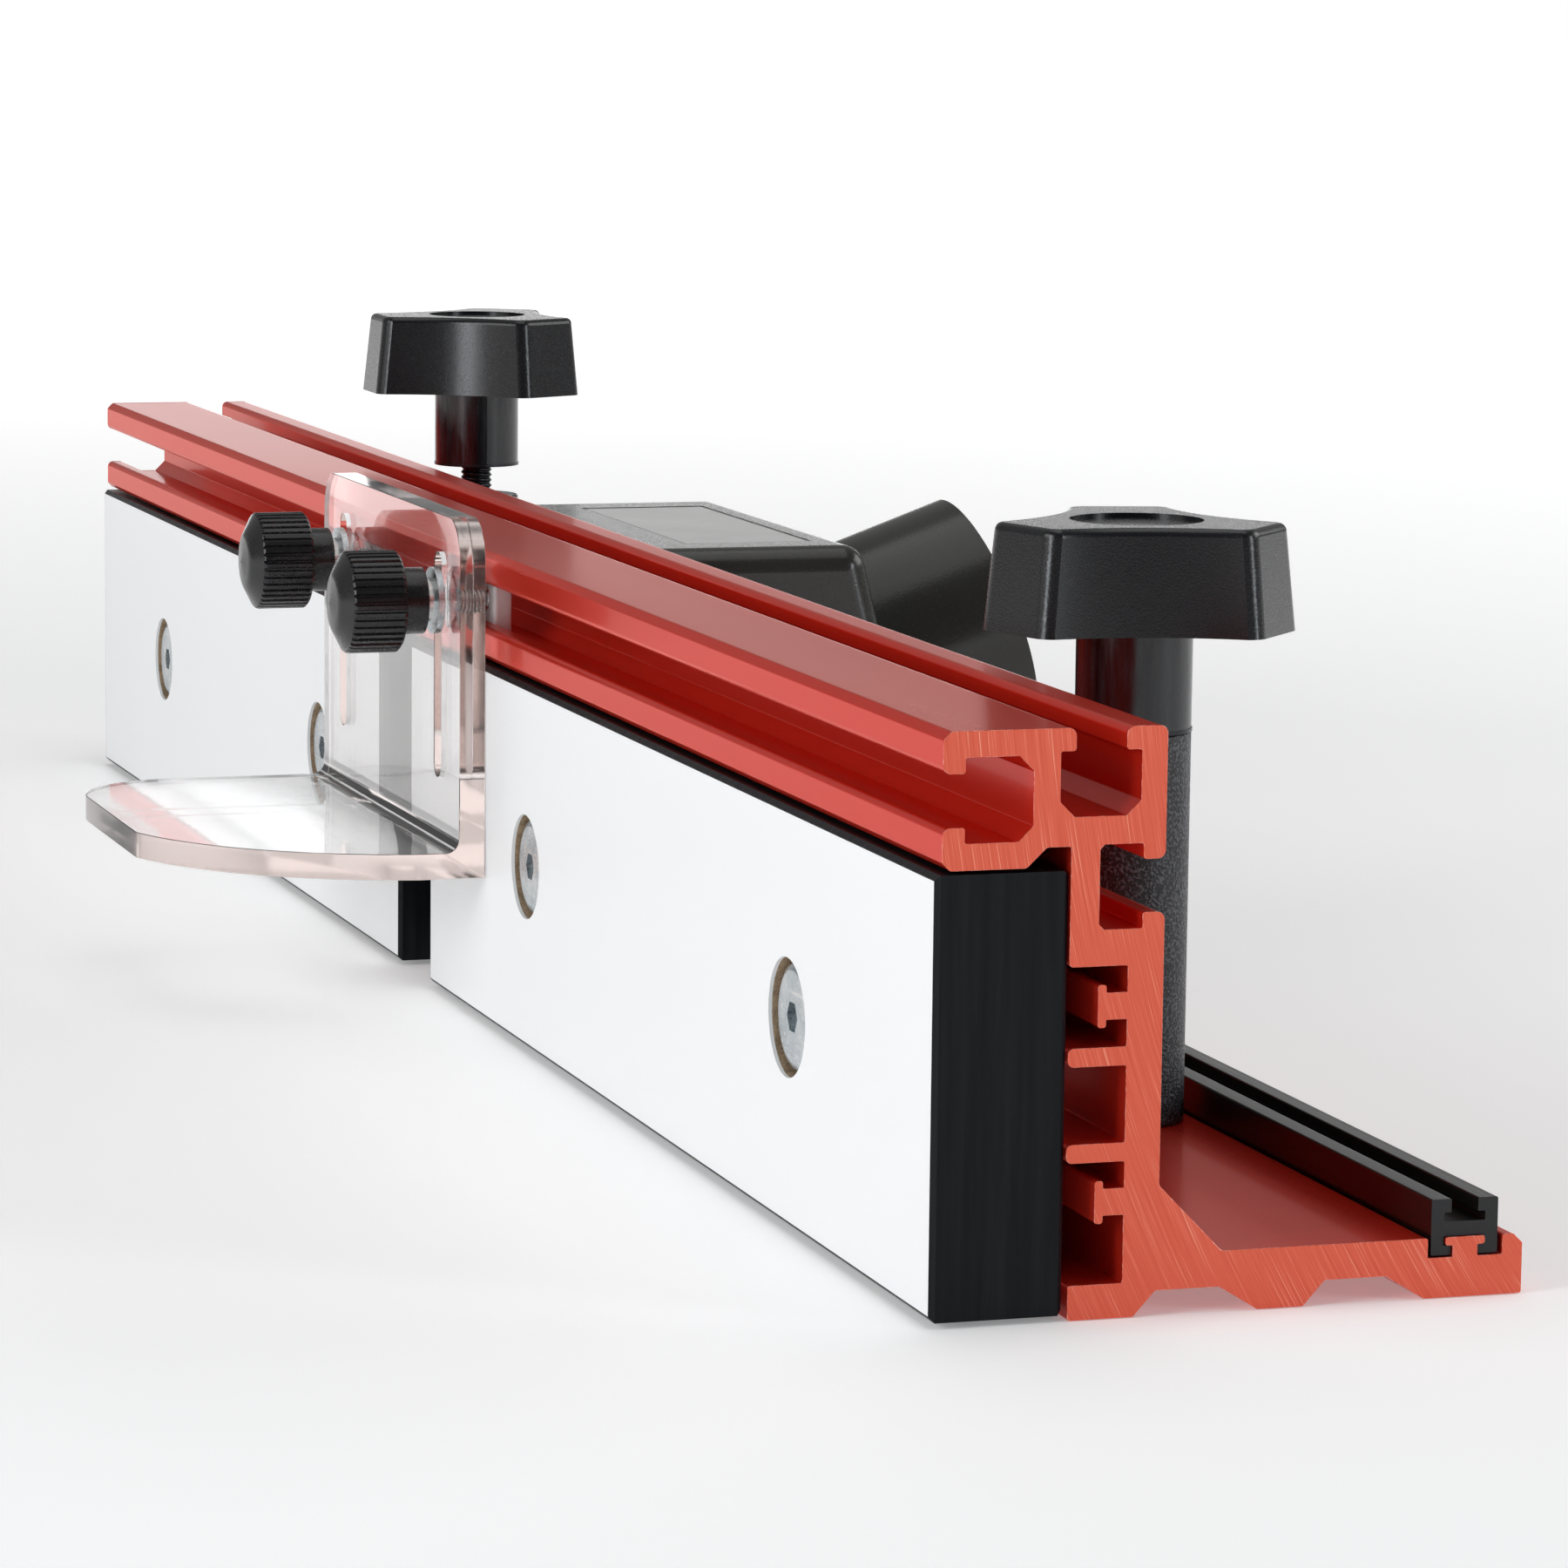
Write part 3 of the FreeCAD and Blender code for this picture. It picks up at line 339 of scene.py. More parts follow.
fence_low, fence_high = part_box("fence_body")
red, red_tree, red_shader = new_finish("red anodising", anodised_red, 0.3, 0.6)
red_shader.inputs["Specular Tint"].default_value = (*red_edge_tint, 1.0)
die_lines = add_node(red_tree, "ShaderNodeTexNoise", {"Scale": 1.0, "Detail": 1.0, "Roughness": 0.5})
red_tree.links.new(object_place(red_tree, (1.2, 40.0, 40.0)), die_lines.inputs["Vector"])
end_mask = cut_end_mask(red_tree, fence_low.x, fence_high.x)
arcs = add_node(red_tree, "ShaderNodeGroup", node_tree=saw_arcs)
long_color = blend_colors(red_tree, die_lines.outputs["Fac"], anodised_red, anodised_light)
end_wave = spread(red_tree, arcs.outputs["Height"], *noise_span)
end_tone = blend_colors(red_tree, end_wave, sawn_low_tone, sawn_red)
saw_marks = calculate(red_tree, "MULTIPLY", arcs.outputs["Mask"], saw_mark_share)
end_color = blend_colors(red_tree, saw_marks, end_tone, saw_mark_pale)
long_rough = spread(red_tree, die_lines.outputs["Fac"], *noise_span, 0.27, 0.30)
red_tree.links.new(blend_colors(red_tree, end_mask, long_color, end_color), red_shader.inputs["Base Color"])
for socket, on_sides, on_ends in (("Roughness", long_rough, 0.52), ("Metallic", 0.50, 0.40),
                                  ("Coat Weight", 0.20, 0.0)):
    red_tree.links.new(blend_values(red_tree, end_mask, on_sides, on_ends), red_shader.inputs[socket])
red_shader.inputs["Coat Roughness"].default_value = 0.08
end_relief = blend_values(red_tree, end_mask, 0.5, arcs.outputs["Height"])
relief(red_tree, red_shader, end_relief, depth=0.00002, strength=0.3)
give(red, "fence_body")

# The burr beads are real shape, but their bright pale colour is partly a painted highlight along the sawn
# edges.
burr_finish, burr_tree, burr_shader = new_finish("burr with painted highlight", (0.93, 0.45, 0.36), 0.35, 0.8)
burr_speckle = place_grain(burr_tree, 0.0009, 0.004)
burr_dull, burr_painted_highlight = (0.74, 0.12, 0.075), (1.0, 0.62, 0.52)
burr_spots = spread(burr_tree, burr_speckle.outputs["Height"], 0.42, 0.62)
burr_tree.links.new(blend_colors(burr_tree, burr_spots, burr_dull, burr_painted_highlight),
                    burr_shader.inputs["Base Color"])


bead_radius = 0.00009
weld_distance = 1e-6
end_tolerance = 1e-5


def outline_of_ends(name, ends):
    """The edges round a part's two flat ends, as a mesh of edges alone."""
    work = bmesh.new()
    work.from_mesh(nodes[name].data)
    bmesh.ops.remove_doubles(work, verts=work.verts, dist=weld_distance)
    side = {}
    for face in work.faces:
        x = face.calc_center_median().x
        if abs(face.normal.x) > 0.99 and min(abs(x - end) for end in ends) < end_tolerance:
            for edge in face.edges:
                side[edge] = side.get(edge, 0) + 1
    points = {}
    lines = []
    for edge in [edge for edge, count in side.items() if count == 1]:
        pair = []
        for vert in edge.verts:
            points.setdefault(vert.index, (len(points), vert.co.copy()))
            pair.append(points[vert.index][0])
        lines.append(pair)
    places = [place for _, place in sorted(points.values(), key=lambda item: item[0])]
    work.free()
    mesh = bpy.data.meshes.new(name + " outline")
    mesh.from_pydata(places, lines, [])
    return mesh


def bead_tree(finish):
    """Geometry Nodes: a fine uneven bead of metal along every edge of the input."""
    tree = bpy.data.node_groups.new("edge bead", "GeometryNodeTree")
    tree.interface.new_socket("Geometry", in_out="INPUT", socket_type="NodeSocketGeometry")
    for name, value in (("Bead Radius", bead_radius), ("Unevenness", 0.8), ("Wave Scale", 420.0)):
        tree.interface.new_socket(name, in_out="INPUT", socket_type="NodeSocketFloat").default_value = value
    tree.interface.new_socket("Geometry", in_out="OUTPUT", socket_type="NodeSocketGeometry")
    source = add_node(tree, "NodeGroupInput")
    sink = add_node(tree, "NodeGroupOutput")
    curve = add_node(tree, "GeometryNodeMeshToCurve")
    noise = add_node(tree, "ShaderNodeTexNoise", {"Detail": 2.0})
    where = add_node(tree, "GeometryNodeInputPosition")
    tree.links.new(where.outputs[0], noise.inputs["Vector"])
    tree.links.new(source.outputs["Wave Scale"], noise.inputs["Scale"])
    swing = calculate(tree, "MULTIPLY", calculate(tree, "SUBTRACT", noise.outputs["Fac"], 0.62),
                      source.outputs["Unevenness"])
    grow = calculate(tree, "ADD", swing, 0.75)
    radius = add_node(tree, "GeometryNodeSetCurveRadius")
    profile = add_node(tree, "GeometryNodeCurvePrimitiveCircle", {"Resolution": 5})
    tree.links.new(source.outputs["Bead Radius"], profile.inputs["Radius"])
    bead = add_node(tree, "GeometryNodeCurveToMesh", {"Fill Caps": True})
    real = add_node(tree, "GeometryNodeRealizeInstances")
    coat = add_node(tree, "GeometryNodeSetMaterial", {"Material": finish})
    tree.links.new(source.outputs["Geometry"], curve.inputs["Mesh"])
    tree.links.new(curve.outputs["Curve"], radius.inputs["Curve"])
    tree.links.new(grow, radius.inputs["Radius"])
    tree.links.new(radius.outputs["Curve"], bead.inputs["Curve"])
    tree.links.new(profile.outputs["Curve"], bead.inputs["Profile Curve"])
    if "Scale" in bead.inputs:
        tree.links.new(grow, bead.inputs["Scale"])
    tree.links.new(bead.outputs["Mesh"], real.inputs["Geometry"])
    tree.links.new(real.outputs["Geometry"], coat.inputs["Geometry"])
    tree.links.new(coat.outputs["Geometry"], sink.inputs["Geometry"])
    return tree


def grown_mesh(name, base_mesh, tree, values):
    """Runs a Geometry Nodes tree on a mesh and keeps its result as a plain mesh object."""
    maker = bpy.data.objects.new(name + " maker", base_mesh)
    bpy.context.scene.collection.objects.link(maker)
    modifier = maker.modifiers.new("grow", "NODES")
    modifier.node_group = tree
    for item in tree.interface.items_tree:
        if item.item_type == "SOCKET" and item.in_out == "INPUT" and item.name in values:
            modifier[item.identifier] = values[item.name]
    bpy.context.view_layer.update()
    graph = bpy.context.evaluated_depsgraph_get()
    mesh = bpy.data.meshes.new_from_object(maker.evaluated_get(graph))
    maker.modifiers.remove(modifier)
    bpy.data.objects.remove(maker)
    mesh.name = name
    piece = bpy.data.objects.new(name, mesh)
    bpy.context.scene.collection.objects.link(piece)
    return piece


burr_outline = outline_of_ends("fence_body", (fence_low.x, fence_high.x))
for vert in burr_outline.vertices:
    vert.co.x -= math.copysign(bead_radius, vert.co.x)
    vert.co.z = max(vert.co.z, bead_radius)
burr = grown_mesh("fence_end_burr", burr_outline, bead_tree(burr_finish), {"Bead Radius": bead_radius})
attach(burr, "fence")


# ---------------------------------------------------------------- jointing packers
# Two black strips of extruded plastic with a T-shaped channel in each side, pushed onto the rib in the
# base's groove. Their skins are satin with faint draw lines, and their sawn ends are greyer and rougher.
strip_tones = ((0.004, 0.004, 0.0035), (0.008, 0.0075, 0.0065))
strip_sawn_tones = ((0.006, 0.0065, 0.007), (0.020, 0.021, 0.022))
strip_saw_fineness = 5200.0
for side in SIDES:
    name = side + "_jointing_packer"
    low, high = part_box(name)
    strip, tree, shader = new_finish(side + " packer plastic", (0.006, 0.006, 0.005), 0.3)
    draw = add_node(tree, "ShaderNodeTexNoise", {"Scale": 1.0, "Detail": 4.0, "Roughness": 0.6})
    tree.links.new(object_place(tree, (2.0, 1800.0, 1800.0)), draw.inputs["Vector"])
    ends = cut_end_mask(tree, low.x, high.x)
    marks = add_node(tree, "ShaderNodeGroup", node_tree=saw_arcs)
    marks.inputs["Fineness"].default_value = strip_saw_fineness
    skin = blend_colors(tree, spread(tree, draw.outputs["Fac"], 0.35, 0.7), *strip_tones)
    sawn = blend_colors(tree, marks.outputs["Height"], *strip_sawn_tones)
    tree.links.new(blend_colors(tree, ends, skin, sawn), shader.inputs["Base Color"])
    skin_rough = spread(tree, draw.outputs["Fac"], *noise_span, 0.26, 0.40)
    tree.links.new(blend_values(tree, ends, skin_rough, 0.6), shader.inputs["Roughness"])
    strip_relief = blend_values(tree, ends, draw.outputs["Fac"], marks.outputs["Height"])
    relief(tree, shader, strip_relief, depth=0.00003, strength=0.6)
    give(strip, name)


# ---------------------------------------------------------------- face boards
# Each face is a fibreboard core between two sheets of hard white laminate, with a black plastic band
# glued round its edges and bevelled flush. The counterbores show the brown core round the bolt heads.
def grained_finish(name, color, roughness, grain, patch, tones, rough_span, metallic=0.0,
                   depth=0.0, strength=0.0):
    """A finish that drifts between two tones in patches, its roughness and relief following a fine grain."""
    material, tree, shader = new_finish(name, color, roughness, metallic)
    texture = place_grain(tree, grain, patch)
    tree.links.new(blend_colors(tree, texture.outputs["Tone"], *tones), shader.inputs["Base Color"])
    tree.links.new(spread(tree, texture.outputs["Height"], *noise_span, *rough_span),
                   shader.inputs["Roughness"])
    if depth:
        relief(tree, shader, texture.outputs["Height"], depth, strength)
    return material


laminate = grained_finish("white laminate", (0.87, 0.875, 0.88), 0.34, grain=0.0006, patch=0.09,
                          tones=((0.86, 0.865, 0.87), (0.885, 0.89, 0.895)), rough_span=(0.30, 0.42),
                          depth=0.00002, strength=0.35)

fibreboard, tree, shader = new_finish("fibreboard", (0.33, 0.235, 0.15), 0.85)
fibre = place_grain(tree, 0.0005, 0.003)
fibre_sum = calculate(tree, "ADD", fibre.outputs["Tone"], fibre.outputs["Height"])
fibre_tone = calculate(tree, "MULTIPLY", fibre_sum, 0.5)
fibre_dark, fibre_light = (0.22, 0.15, 0.09), (0.46, 0.34, 0.22)
tree.links.new(blend_colors(tree, spread(tree, fibre_tone, 0.38, 0.62), fibre_dark, fibre_light),
               shader.inputs["Base Color"])
relief(tree, shader, fibre.outputs["Height"], depth=0.00015, strength=0.8)

edge_band, tree, shader = new_finish("black edge band", (0.010, 0.012, 0.014), 0.36)
shader.inputs["Specular IOR Level"].default_value = 0.12
planed = add_node(tree, "ShaderNodeTexNoise", {"Scale": 1.0, "Detail": 3.0, "Roughness": 0.55})
tree.links.new(object_place(tree, (420.0, 420.0, 22.0)), planed.inputs["Vector"])
band_grain = place_grain(tree, 0.0005, 0.03)
band_dark, band_light = (0.005, 0.0065, 0.008), (0.011, 0.013, 0.015)
tree.links.new(blend_colors(tree, spread(tree, planed.outputs["Fac"], 0.35, 0.7), band_dark, band_light),
               shader.inputs["Base Color"])
tree.links.new(spread(tree, planed.outputs["Fac"], *noise_span, 0.28, 0.44), shader.inputs["Roughness"])
relief(tree, shader, band_grain.outputs["Height"], depth=0.00003, strength=0.5)

for side in SIDES:
    give(fibreboard, side + "_face_core")
    give(laminate, side + "_face_front_laminate", side + "_face_back_laminate")
    give(edge_band, side + "_face_edging")


# ---------------------------------------------------------------- face bolts
# Flat-headed steel bolts with hexagon sockets, bright zinc plated with a faint blue cast, drawn up by
# nuts and washers behind the wall. Handling leaves the plating cloudy and lightly scratched.
def scuff_group():
    """Shared short random scratches: Mask of the scratches, from a stretched noise turned two ways."""
    group = bpy.data.node_groups.new("short scuffs", "ShaderNodeTree")
    group.interface.new_socket("Vector", in_out="INPUT", socket_type="NodeSocketVector")
    for name, value in (("Scale", 900.0), ("Amount", 0.16)):
        group.interface.new_socket(name, in_out="INPUT", socket_type="NodeSocketFloat").default_value = value
    group.interface.new_socket("Mask", in_out="OUTPUT", socket_type="NodeSocketFloat")
    source = add_node(group, "NodeGroupInput")
    sink = add_node(group, "NodeGroupOutput")
    layers = []
    for turn, stretch in (((0.5, 0.9, 0.3), (1.0, 0.05, 1.0)), ((1.3, 0.2, 1.1), (0.06, 1.0, 1.0))):
        mapping = add_node(group, "ShaderNodeMapping", {"Rotation": turn, "Scale": stretch})
        noise = add_node(group, "ShaderNodeTexNoise", {"Detail": 1.0})
        group.links.new(source.outputs["Vector"], mapping.inputs["Vector"])
        group.links.new(mapping.outputs["Vector"], noise.inputs["Vector"])
        group.links.new(source.outputs["Scale"], noise.inputs["Scale"])
        layers.append(spread(group, noise.outputs["Fac"], 0.64, 0.74))
    both = calculate(group, "MAXIMUM", layers[0], layers[1])
    group.links.new(calculate(group, "MULTIPLY", both, source.outputs["Amount"]), sink.inputs["Mask"])
    return group


scuffs = scuff_group()


def place_scuffs(tree, scale, amount):
    """The scuff group in a material, with its own values."""
    node = add_node(tree, "ShaderNodeGroup", node_tree=scuffs)
    node.inputs["Scale"].default_value = scale
    node.inputs["Amount"].default_value = amount
    tree.links.new(object_place(tree), node.inputs["Vector"])
    return node.outputs["Mask"]


zinc, tree, shader = new_finish("bright zinc plate", (0.56, 0.59, 0.62), 0.3, 1.0)
plating = place_grain(tree, 0.0007, 0.006)
zinc_dull, zinc_bright, zinc_scratch = (0.46, 0.51, 0.54), (0.66, 0.68, 0.69), (0.80, 0.80, 0.78)
cloudy = blend_colors(tree, spread(tree, plating.outputs["Tone"], 0.35, 0.65), zinc_dull, zinc_bright)
scratched = place_scuffs(tree, scale=700.0, amount=0.7)
tree.links.new(blend_colors(tree, scratched, cloudy, zinc_scratch), shader.inputs["Base Color"])
tree.links.new(spread(tree, plating.outputs["Height"], *noise_span, 0.22, 0.40), shader.inputs["Roughness"])
relief(tree, shader, plating.outputs["Height"], depth=0.00004, strength=0.5)
for side in SIDES:
    give(zinc, side + "_face_bolts", side + "_face_washers", side + "_face_nuts")


# ---------------------------------------------------------------- guard screws
# Two zinc plated screws whose square heads slide in the front T-slot, with spacer washers on the lips.
# Their threads run the whole shank, out through the guard's slots and into the knurled knobs.
tooth_share = 0.46
rod_sides = 24


def thread_tree(finish):
    """Geometry Nodes: a threaded rod from a point along +Z, turned and moved to its place."""
    tree = bpy.data.node_groups.new("threaded rod", "GeometryNodeTree")
    tree.interface.new_socket("Geometry", in_out="INPUT", socket_type="NodeSocketGeometry")
    for name, value in (("Rod Radius", 0.003), ("Pitch", 0.001), ("Rod Length", 0.03)):
        tree.interface.new_socket(name, in_out="INPUT", socket_type="NodeSocketFloat").default_value = value
    for name in ("Turn", "Place"):
        tree.interface.new_socket(name, in_out="INPUT", socket_type="NodeSocketVector")
    tree.interface.new_socket("Geometry", in_out="OUTPUT", socket_type="NodeSocketGeometry")
    source = add_node(tree, "NodeGroupInput")
    sink = add_node(tree, "NodeGroupOutput")
    tooth = calculate(tree, "MULTIPLY", source.outputs["Pitch"], tooth_share)
    root = calculate(tree, "SUBTRACT", source.outputs["Rod Radius"], tooth)
    run = calculate(tree, "SUBTRACT", source.outputs["Rod Length"], calculate(tree, "MULTIPLY", tooth, 2.0))
    helix = add_node(tree, "GeometryNodeCurveSpiral", {"Resolution": rod_sides})
    tree.links.new(calculate(tree, "DIVIDE", run, source.outputs["Pitch"]), helix.inputs["Rotations"])
    tree.links.new(root, helix.inputs["Start Radius"])
    tree.links.new(root, helix.inputs["End Radius"])
    tree.links.new(run, helix.inputs["Height"])
    ridge = add_node(tree, "GeometryNodeCurvePrimitiveCircle", {"Resolution": 4})
    tree.links.new(tooth, ridge.inputs["Radius"])
    upright = add_node(tree, "GeometryNodeSetCurveNormal", mode="Z_UP")
    sweep = add_node(tree, "GeometryNodeCurveToMesh", {"Fill Caps": True})
    rod = add_node(tree, "GeometryNodeMeshCylinder", {"Vertices": rod_sides})
    tree.links.new(root, rod.inputs["Radius"])
    tree.links.new(source.outputs["Rod Length"], rod.inputs["Depth"])
    lift_rod = add_node(tree, "ShaderNodeCombineXYZ")
    tree.links.new(calculate(tree, "MULTIPLY", source.outputs["Rod Length"], 0.5), lift_rod.inputs["Z"])
    rod_up = add_node(tree, "GeometryNodeTransform")
    tree.links.new(rod.outputs["Mesh"], rod_up.inputs["Geometry"])
    tree.links.new(lift_rod.outputs["Vector"], rod_up.inputs["Translation"])
    lift_helix = add_node(tree, "ShaderNodeCombineXYZ")
    tree.links.new(tooth, lift_helix.inputs["Z"])
    helix_up = add_node(tree, "GeometryNodeTransform")
    tree.links.new(helix.outputs["Curve"], upright.inputs["Curve"])
    tree.links.new(upright.outputs["Curve"], sweep.inputs["Curve"])
    tree.links.new(ridge.outputs["Curve"], sweep.inputs["Profile Curve"])
    tree.links.new(sweep.outputs["Mesh"], helix_up.inputs["Geometry"])
    tree.links.new(lift_helix.outputs["Vector"], helix_up.inputs["Translation"])
    both = add_node(tree, "GeometryNodeJoinGeometry")
    tree.links.new(rod_up.outputs["Geometry"], both.inputs["Geometry"])
    tree.links.new(helix_up.outputs["Geometry"], both.inputs["Geometry"])
    put = add_node(tree, "GeometryNodeTransform")
    tree.links.new(both.outputs["Geometry"], put.inputs["Geometry"])
    tree.links.new(source.outputs["Turn"], put.inputs["Rotation"])
    tree.links.new(source.outputs["Place"], put.inputs["Translation"])
    real = add_node(tree, "GeometryNodeRealizeInstances")
    coat = add_node(tree, "GeometryNodeSetMaterial", {"Material": finish})
    tree.links.new(put.outputs["Geometry"], real.inputs["Geometry"])
    tree.links.new(real.outputs["Geometry"], coat.inputs["Geometry"])
    tree.links.new(coat.outputs["Geometry"], sink.inputs["Geometry"])
    return tree


zinc_thread = thread_tree(zinc)


def threaded_rod(name, tree, radius, pitch, length, turn, place):
    """One threaded rod as a plain mesh object."""
    start = bpy.data.meshes.new(name + " start")
    return grown_mesh(name, start, tree, {"Rod Radius": radius, "Pitch": pitch, "Rod Length": length,
                                          "Turn": turn, "Place": place})


def join_pieces(name, pieces):
    """Several mesh objects as one."""
    work = bmesh.new()
    for piece in pieces:
        work.from_mesh(piece.data)
    mesh = pieces[0].data.copy()
    work.to_mesh(mesh)
    work.free()
    for piece in pieces:
        bpy.data.objects.remove(piece)
    joined = bpy.data.objects.new(name, mesh)
    mesh.name = name
    bpy.context.scene.collection.objects.link(joined)
    return joined


def bevelled_block(name, low, high, bevel, finish):
    """A block between two corners with its edges rounded."""
    work = bmesh.new()
    bmesh.ops.create_cube(work, size=1.0)
    for vert in work.verts:
        vert.co = Vector((low[i] if vert.co[i] < 0 else high[i] for i in range(3)))
    bmesh.ops.bevel(work, geom=list(work.edges), offset=bevel, segments=3, profile=0.5, affect="EDGES")
    bmesh.ops.recalc_face_normals(work, faces=work.faces)
    mesh = bpy.data.meshes.new(name)
    work.to_mesh(mesh)
    work.free()
    mesh.materials.append(finish)
    block = bpy.data.objects.new(name, mesh)
    bpy.context.scene.collection.objects.link(block)
    return block


guard_screw_radius = 0.003
guard_screw_pitch = 0.001
guard_screw_x = 0.05
screw_head_half = 0.0075
screw_head_thick = 0.0045
screw_head_bevel = 0.0006
tee_low, tee_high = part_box("guard_tee_bolts")
spacer_low, spacer_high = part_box("guard_spacers")
slot_z = (spacer_low.z + spacer_high.z) / 2
screw_root = tee_high.y - screw_head_thick / 2
screw_pieces = []
for x in (-guard_screw_x, guard_screw_x):
    screw_pieces.append(threaded_rod("guard screw", zinc_thread, guard_screw_radius, guard_screw_pitch,
                                     tee_high.y - tee_low.y - screw_head_thick / 2,
                                     turn=(math.pi / 2, 0.0, 0.0), place=(x, screw_root, slot_z)))
    head_low = (x - screw_head_half, tee_high.y - screw_head_thick, tee_low.z)
    head_high = (x + screw_head_half, tee_high.y, tee_high.z)
    screw_pieces.append(bevelled_block("screw head", head_low, head_high, screw_head_bevel, zinc))
guard_screws = join_pieces("guard_slot_screws", screw_pieces)
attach(guard_screws, "guard_carriage")
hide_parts("guard_tee_bolts")
give(zinc, "guard_spacers")


# ---------------------------------------------------------------- guard
# The guard is clear acrylic sheet, heat-bent into an L, with two upright slots. Its cut edges are
# flame polished, and their smoky pink is a painted reflection of the red metal behind; the sheet has faint
# rub marks.
guard_sheet = 0.0064
edge_ease = 0.00035
sheet_slack = 1.02
rim_depth = 0.0001
facet_angle = math.radians(0.2)
corner_angle = math.radians(35)
shading_angle = math.radians(14)
acrylic_density = 1.49
haze = 0.985
acrylic_finishes = []
# The cut edge tint is a painted reflection: the red metal behind is painted into the edges as a darker smoky
# pink.
for name, tint, smooth, rub in (("clear acrylic", (0.985, 0.978, 0.976), 0.03, 0.14),
                                ("acrylic edge with painted reflection", (0.66, 0.56, 0.53), 0.10, 0.22)):
    acrylic, tree, shader = new_finish(name, tint, smooth)
    shader.inputs["Transmission Weight"].default_value = 1.0
    shader.inputs["IOR"].default_value = acrylic_density
    ripple = place_grain(tree, 0.0012, 0.03)
    tree.links.new(blend_colors(tree, ripple.outputs["Tone"], tuple(haze * part for part in tint), tint),
                   shader.inputs["Base Color"])
    rubbed = place_scuffs(tree, scale=160.0, amount=0.5)
    tree.links.new(blend_values(tree, rubbed, smooth, rub), shader.inputs["Roughness"])
    relief(tree, shader, ripple.outputs["Tone"], depth=0.0002, strength=0.05)
    acrylic_finishes.append(acrylic)


def edged_copy(name, source, bevel, finishes):
    """A copy of a CAD part with its edges eased, its flat cut edges in the second finish."""
    work = bmesh.new()
    work.from_mesh(nodes[source].data)
    bmesh.ops.remove_doubles(work, verts=work.verts, dist=weld_distance)
    bmesh.ops.dissolve_limit(work, angle_limit=facet_angle, verts=work.verts, edges=work.edges)
    low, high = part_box(source)
    plate_back = high.y - guard_sheet * sheet_slack
    for face in work.faces:
        flat = abs(face.normal.z) > 0.9
        middle = face.calc_center_median()
        bend = abs(face.normal.x) < 0.05 and 0.1 < abs(face.normal.z) < 0.95
        board = abs(face.normal.y) > 0.99 and abs(face.normal.x) < 0.05 and middle.y > plate_back
        rim = middle.z > high.z - rim_depth or abs(face.normal.x) > 0.05 or not (flat or board or bend)
        face.material_index = 1 if rim else 0
    sharp = [edge for edge in work.edges
             if len(edge.link_faces) == 2 and edge.calc_face_angle() > corner_angle]
    bmesh.ops.bevel(work, geom=sharp, offset=bevel, segments=2, profile=0.5, affect="EDGES",
                    clamp_overlap=True, material=1)
    bmesh.ops.recalc_face_normals(work, faces=work.faces)
    for face in work.faces:
        face.smooth = True
    mesh = bpy.data.meshes.new(name)
    work.to_mesh(mesh)
    work.free()
    for finish in finishes:
        mesh.materials.append(finish)
    mesh.set_sharp_from_angle(angle=shading_angle)
    piece = bpy.data.objects.new(name, mesh)
    bpy.context.scene.collection.objects.link(piece)
    return piece


guard_piece = edged_copy("bent_guard", "guard_plate", edge_ease, acrylic_finishes)
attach(guard_piece, "guard")
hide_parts("guard_plate")


# ---------------------------------------------------------------- knurled knobs
# Two black moulded knobs with ribbed rims and domed ends, each on a bright turned boss and a washer.
# The plastic is satin with a fine spark-eroded grain.
moulded = grained_finish("black moulded plastic", (0.007, 0.007, 0.008), 0.3, grain=0.0004, patch=0.012,
                         tones=((0.005, 0.005, 0.006), (0.010, 0.010, 0.011)), rough_span=(0.17, 0.30),
                         depth=0.00005, strength=0.4)
turned = grained_finish("turned steel boss", (0.66, 0.66, 0.66), 0.2, grain=0.0004, patch=0.004,
                        tones=((0.58, 0.58, 0.58), (0.74, 0.74, 0.73)), rough_span=(0.14, 0.28), metallic=1.0)
for side in SIDES:
    give(zinc, side + "_guard_washer")
    give(moulded, side + "_guard_knob")
    give(turned, side + "_guard_knob_insert")


# ---------------------------------------------------------------- dust port
# A moulded hood with a tilted hose outlet, screwed to the wall behind the bit opening. It is olive
# black with a spark-eroded grain, and a pale blank label sits in a shallow recess on its top, edged
# with a thin band of painted shade where the recess wall meets it.
port = grained_finish("hood plastic", (0.018, 0.018, 0.015), 0.34, grain=0.0006, patch=0.03,
                      tones=((0.014, 0.014, 0.012), (0.023, 0.023, 0.019)), rough_span=(0.17, 0.28),
                      depth=0.00006, strength=0.5)
give(port, "dust_hood", "dust_outlet")
give(zinc, "dust_hood_screws")

label_shade_band = 0.0009
label_painted_shade = (0.05, 0.05, 0.045)
label_tones = ((0.26, 0.26, 0.25), (0.36, 0.36, 0.35))
film, tree, shader = new_finish("blank label film", (0.30, 0.30, 0.29), 0.25)
label_low, label_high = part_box("dust_label")
label_middle = (label_low + label_high) / 2
label_half = (label_high - label_low) / 2
parts = object_parts(tree)
gaps = []
for axis, middle, half in (("X", label_middle.x, label_half.x), ("Y", label_middle.y, label_half.y)):
    off = calculate(tree, "ABSOLUTE", calculate(tree, "SUBTRACT", parts[axis], middle))
    gaps.append(calculate(tree, "SUBTRACT", half, off))
# Painted shade: a thin dark band round the label's edge, where the recess wall shades it.
inside = calculate(tree, "GREATER_THAN", calculate(tree, "MINIMUM", *gaps), label_shade_band)
film_tone = place_grain(tree, 0.0006, 0.02)
field = blend_colors(tree, film_tone.outputs["Tone"], *label_tones)
tree.links.new(blend_colors(tree, inside, label_painted_shade, field), shader.inputs["Base Color"])
relief(tree, shader, film_tone.outputs["Height"], depth=0.00002, strength=0.4)
give(film, "dust_label")


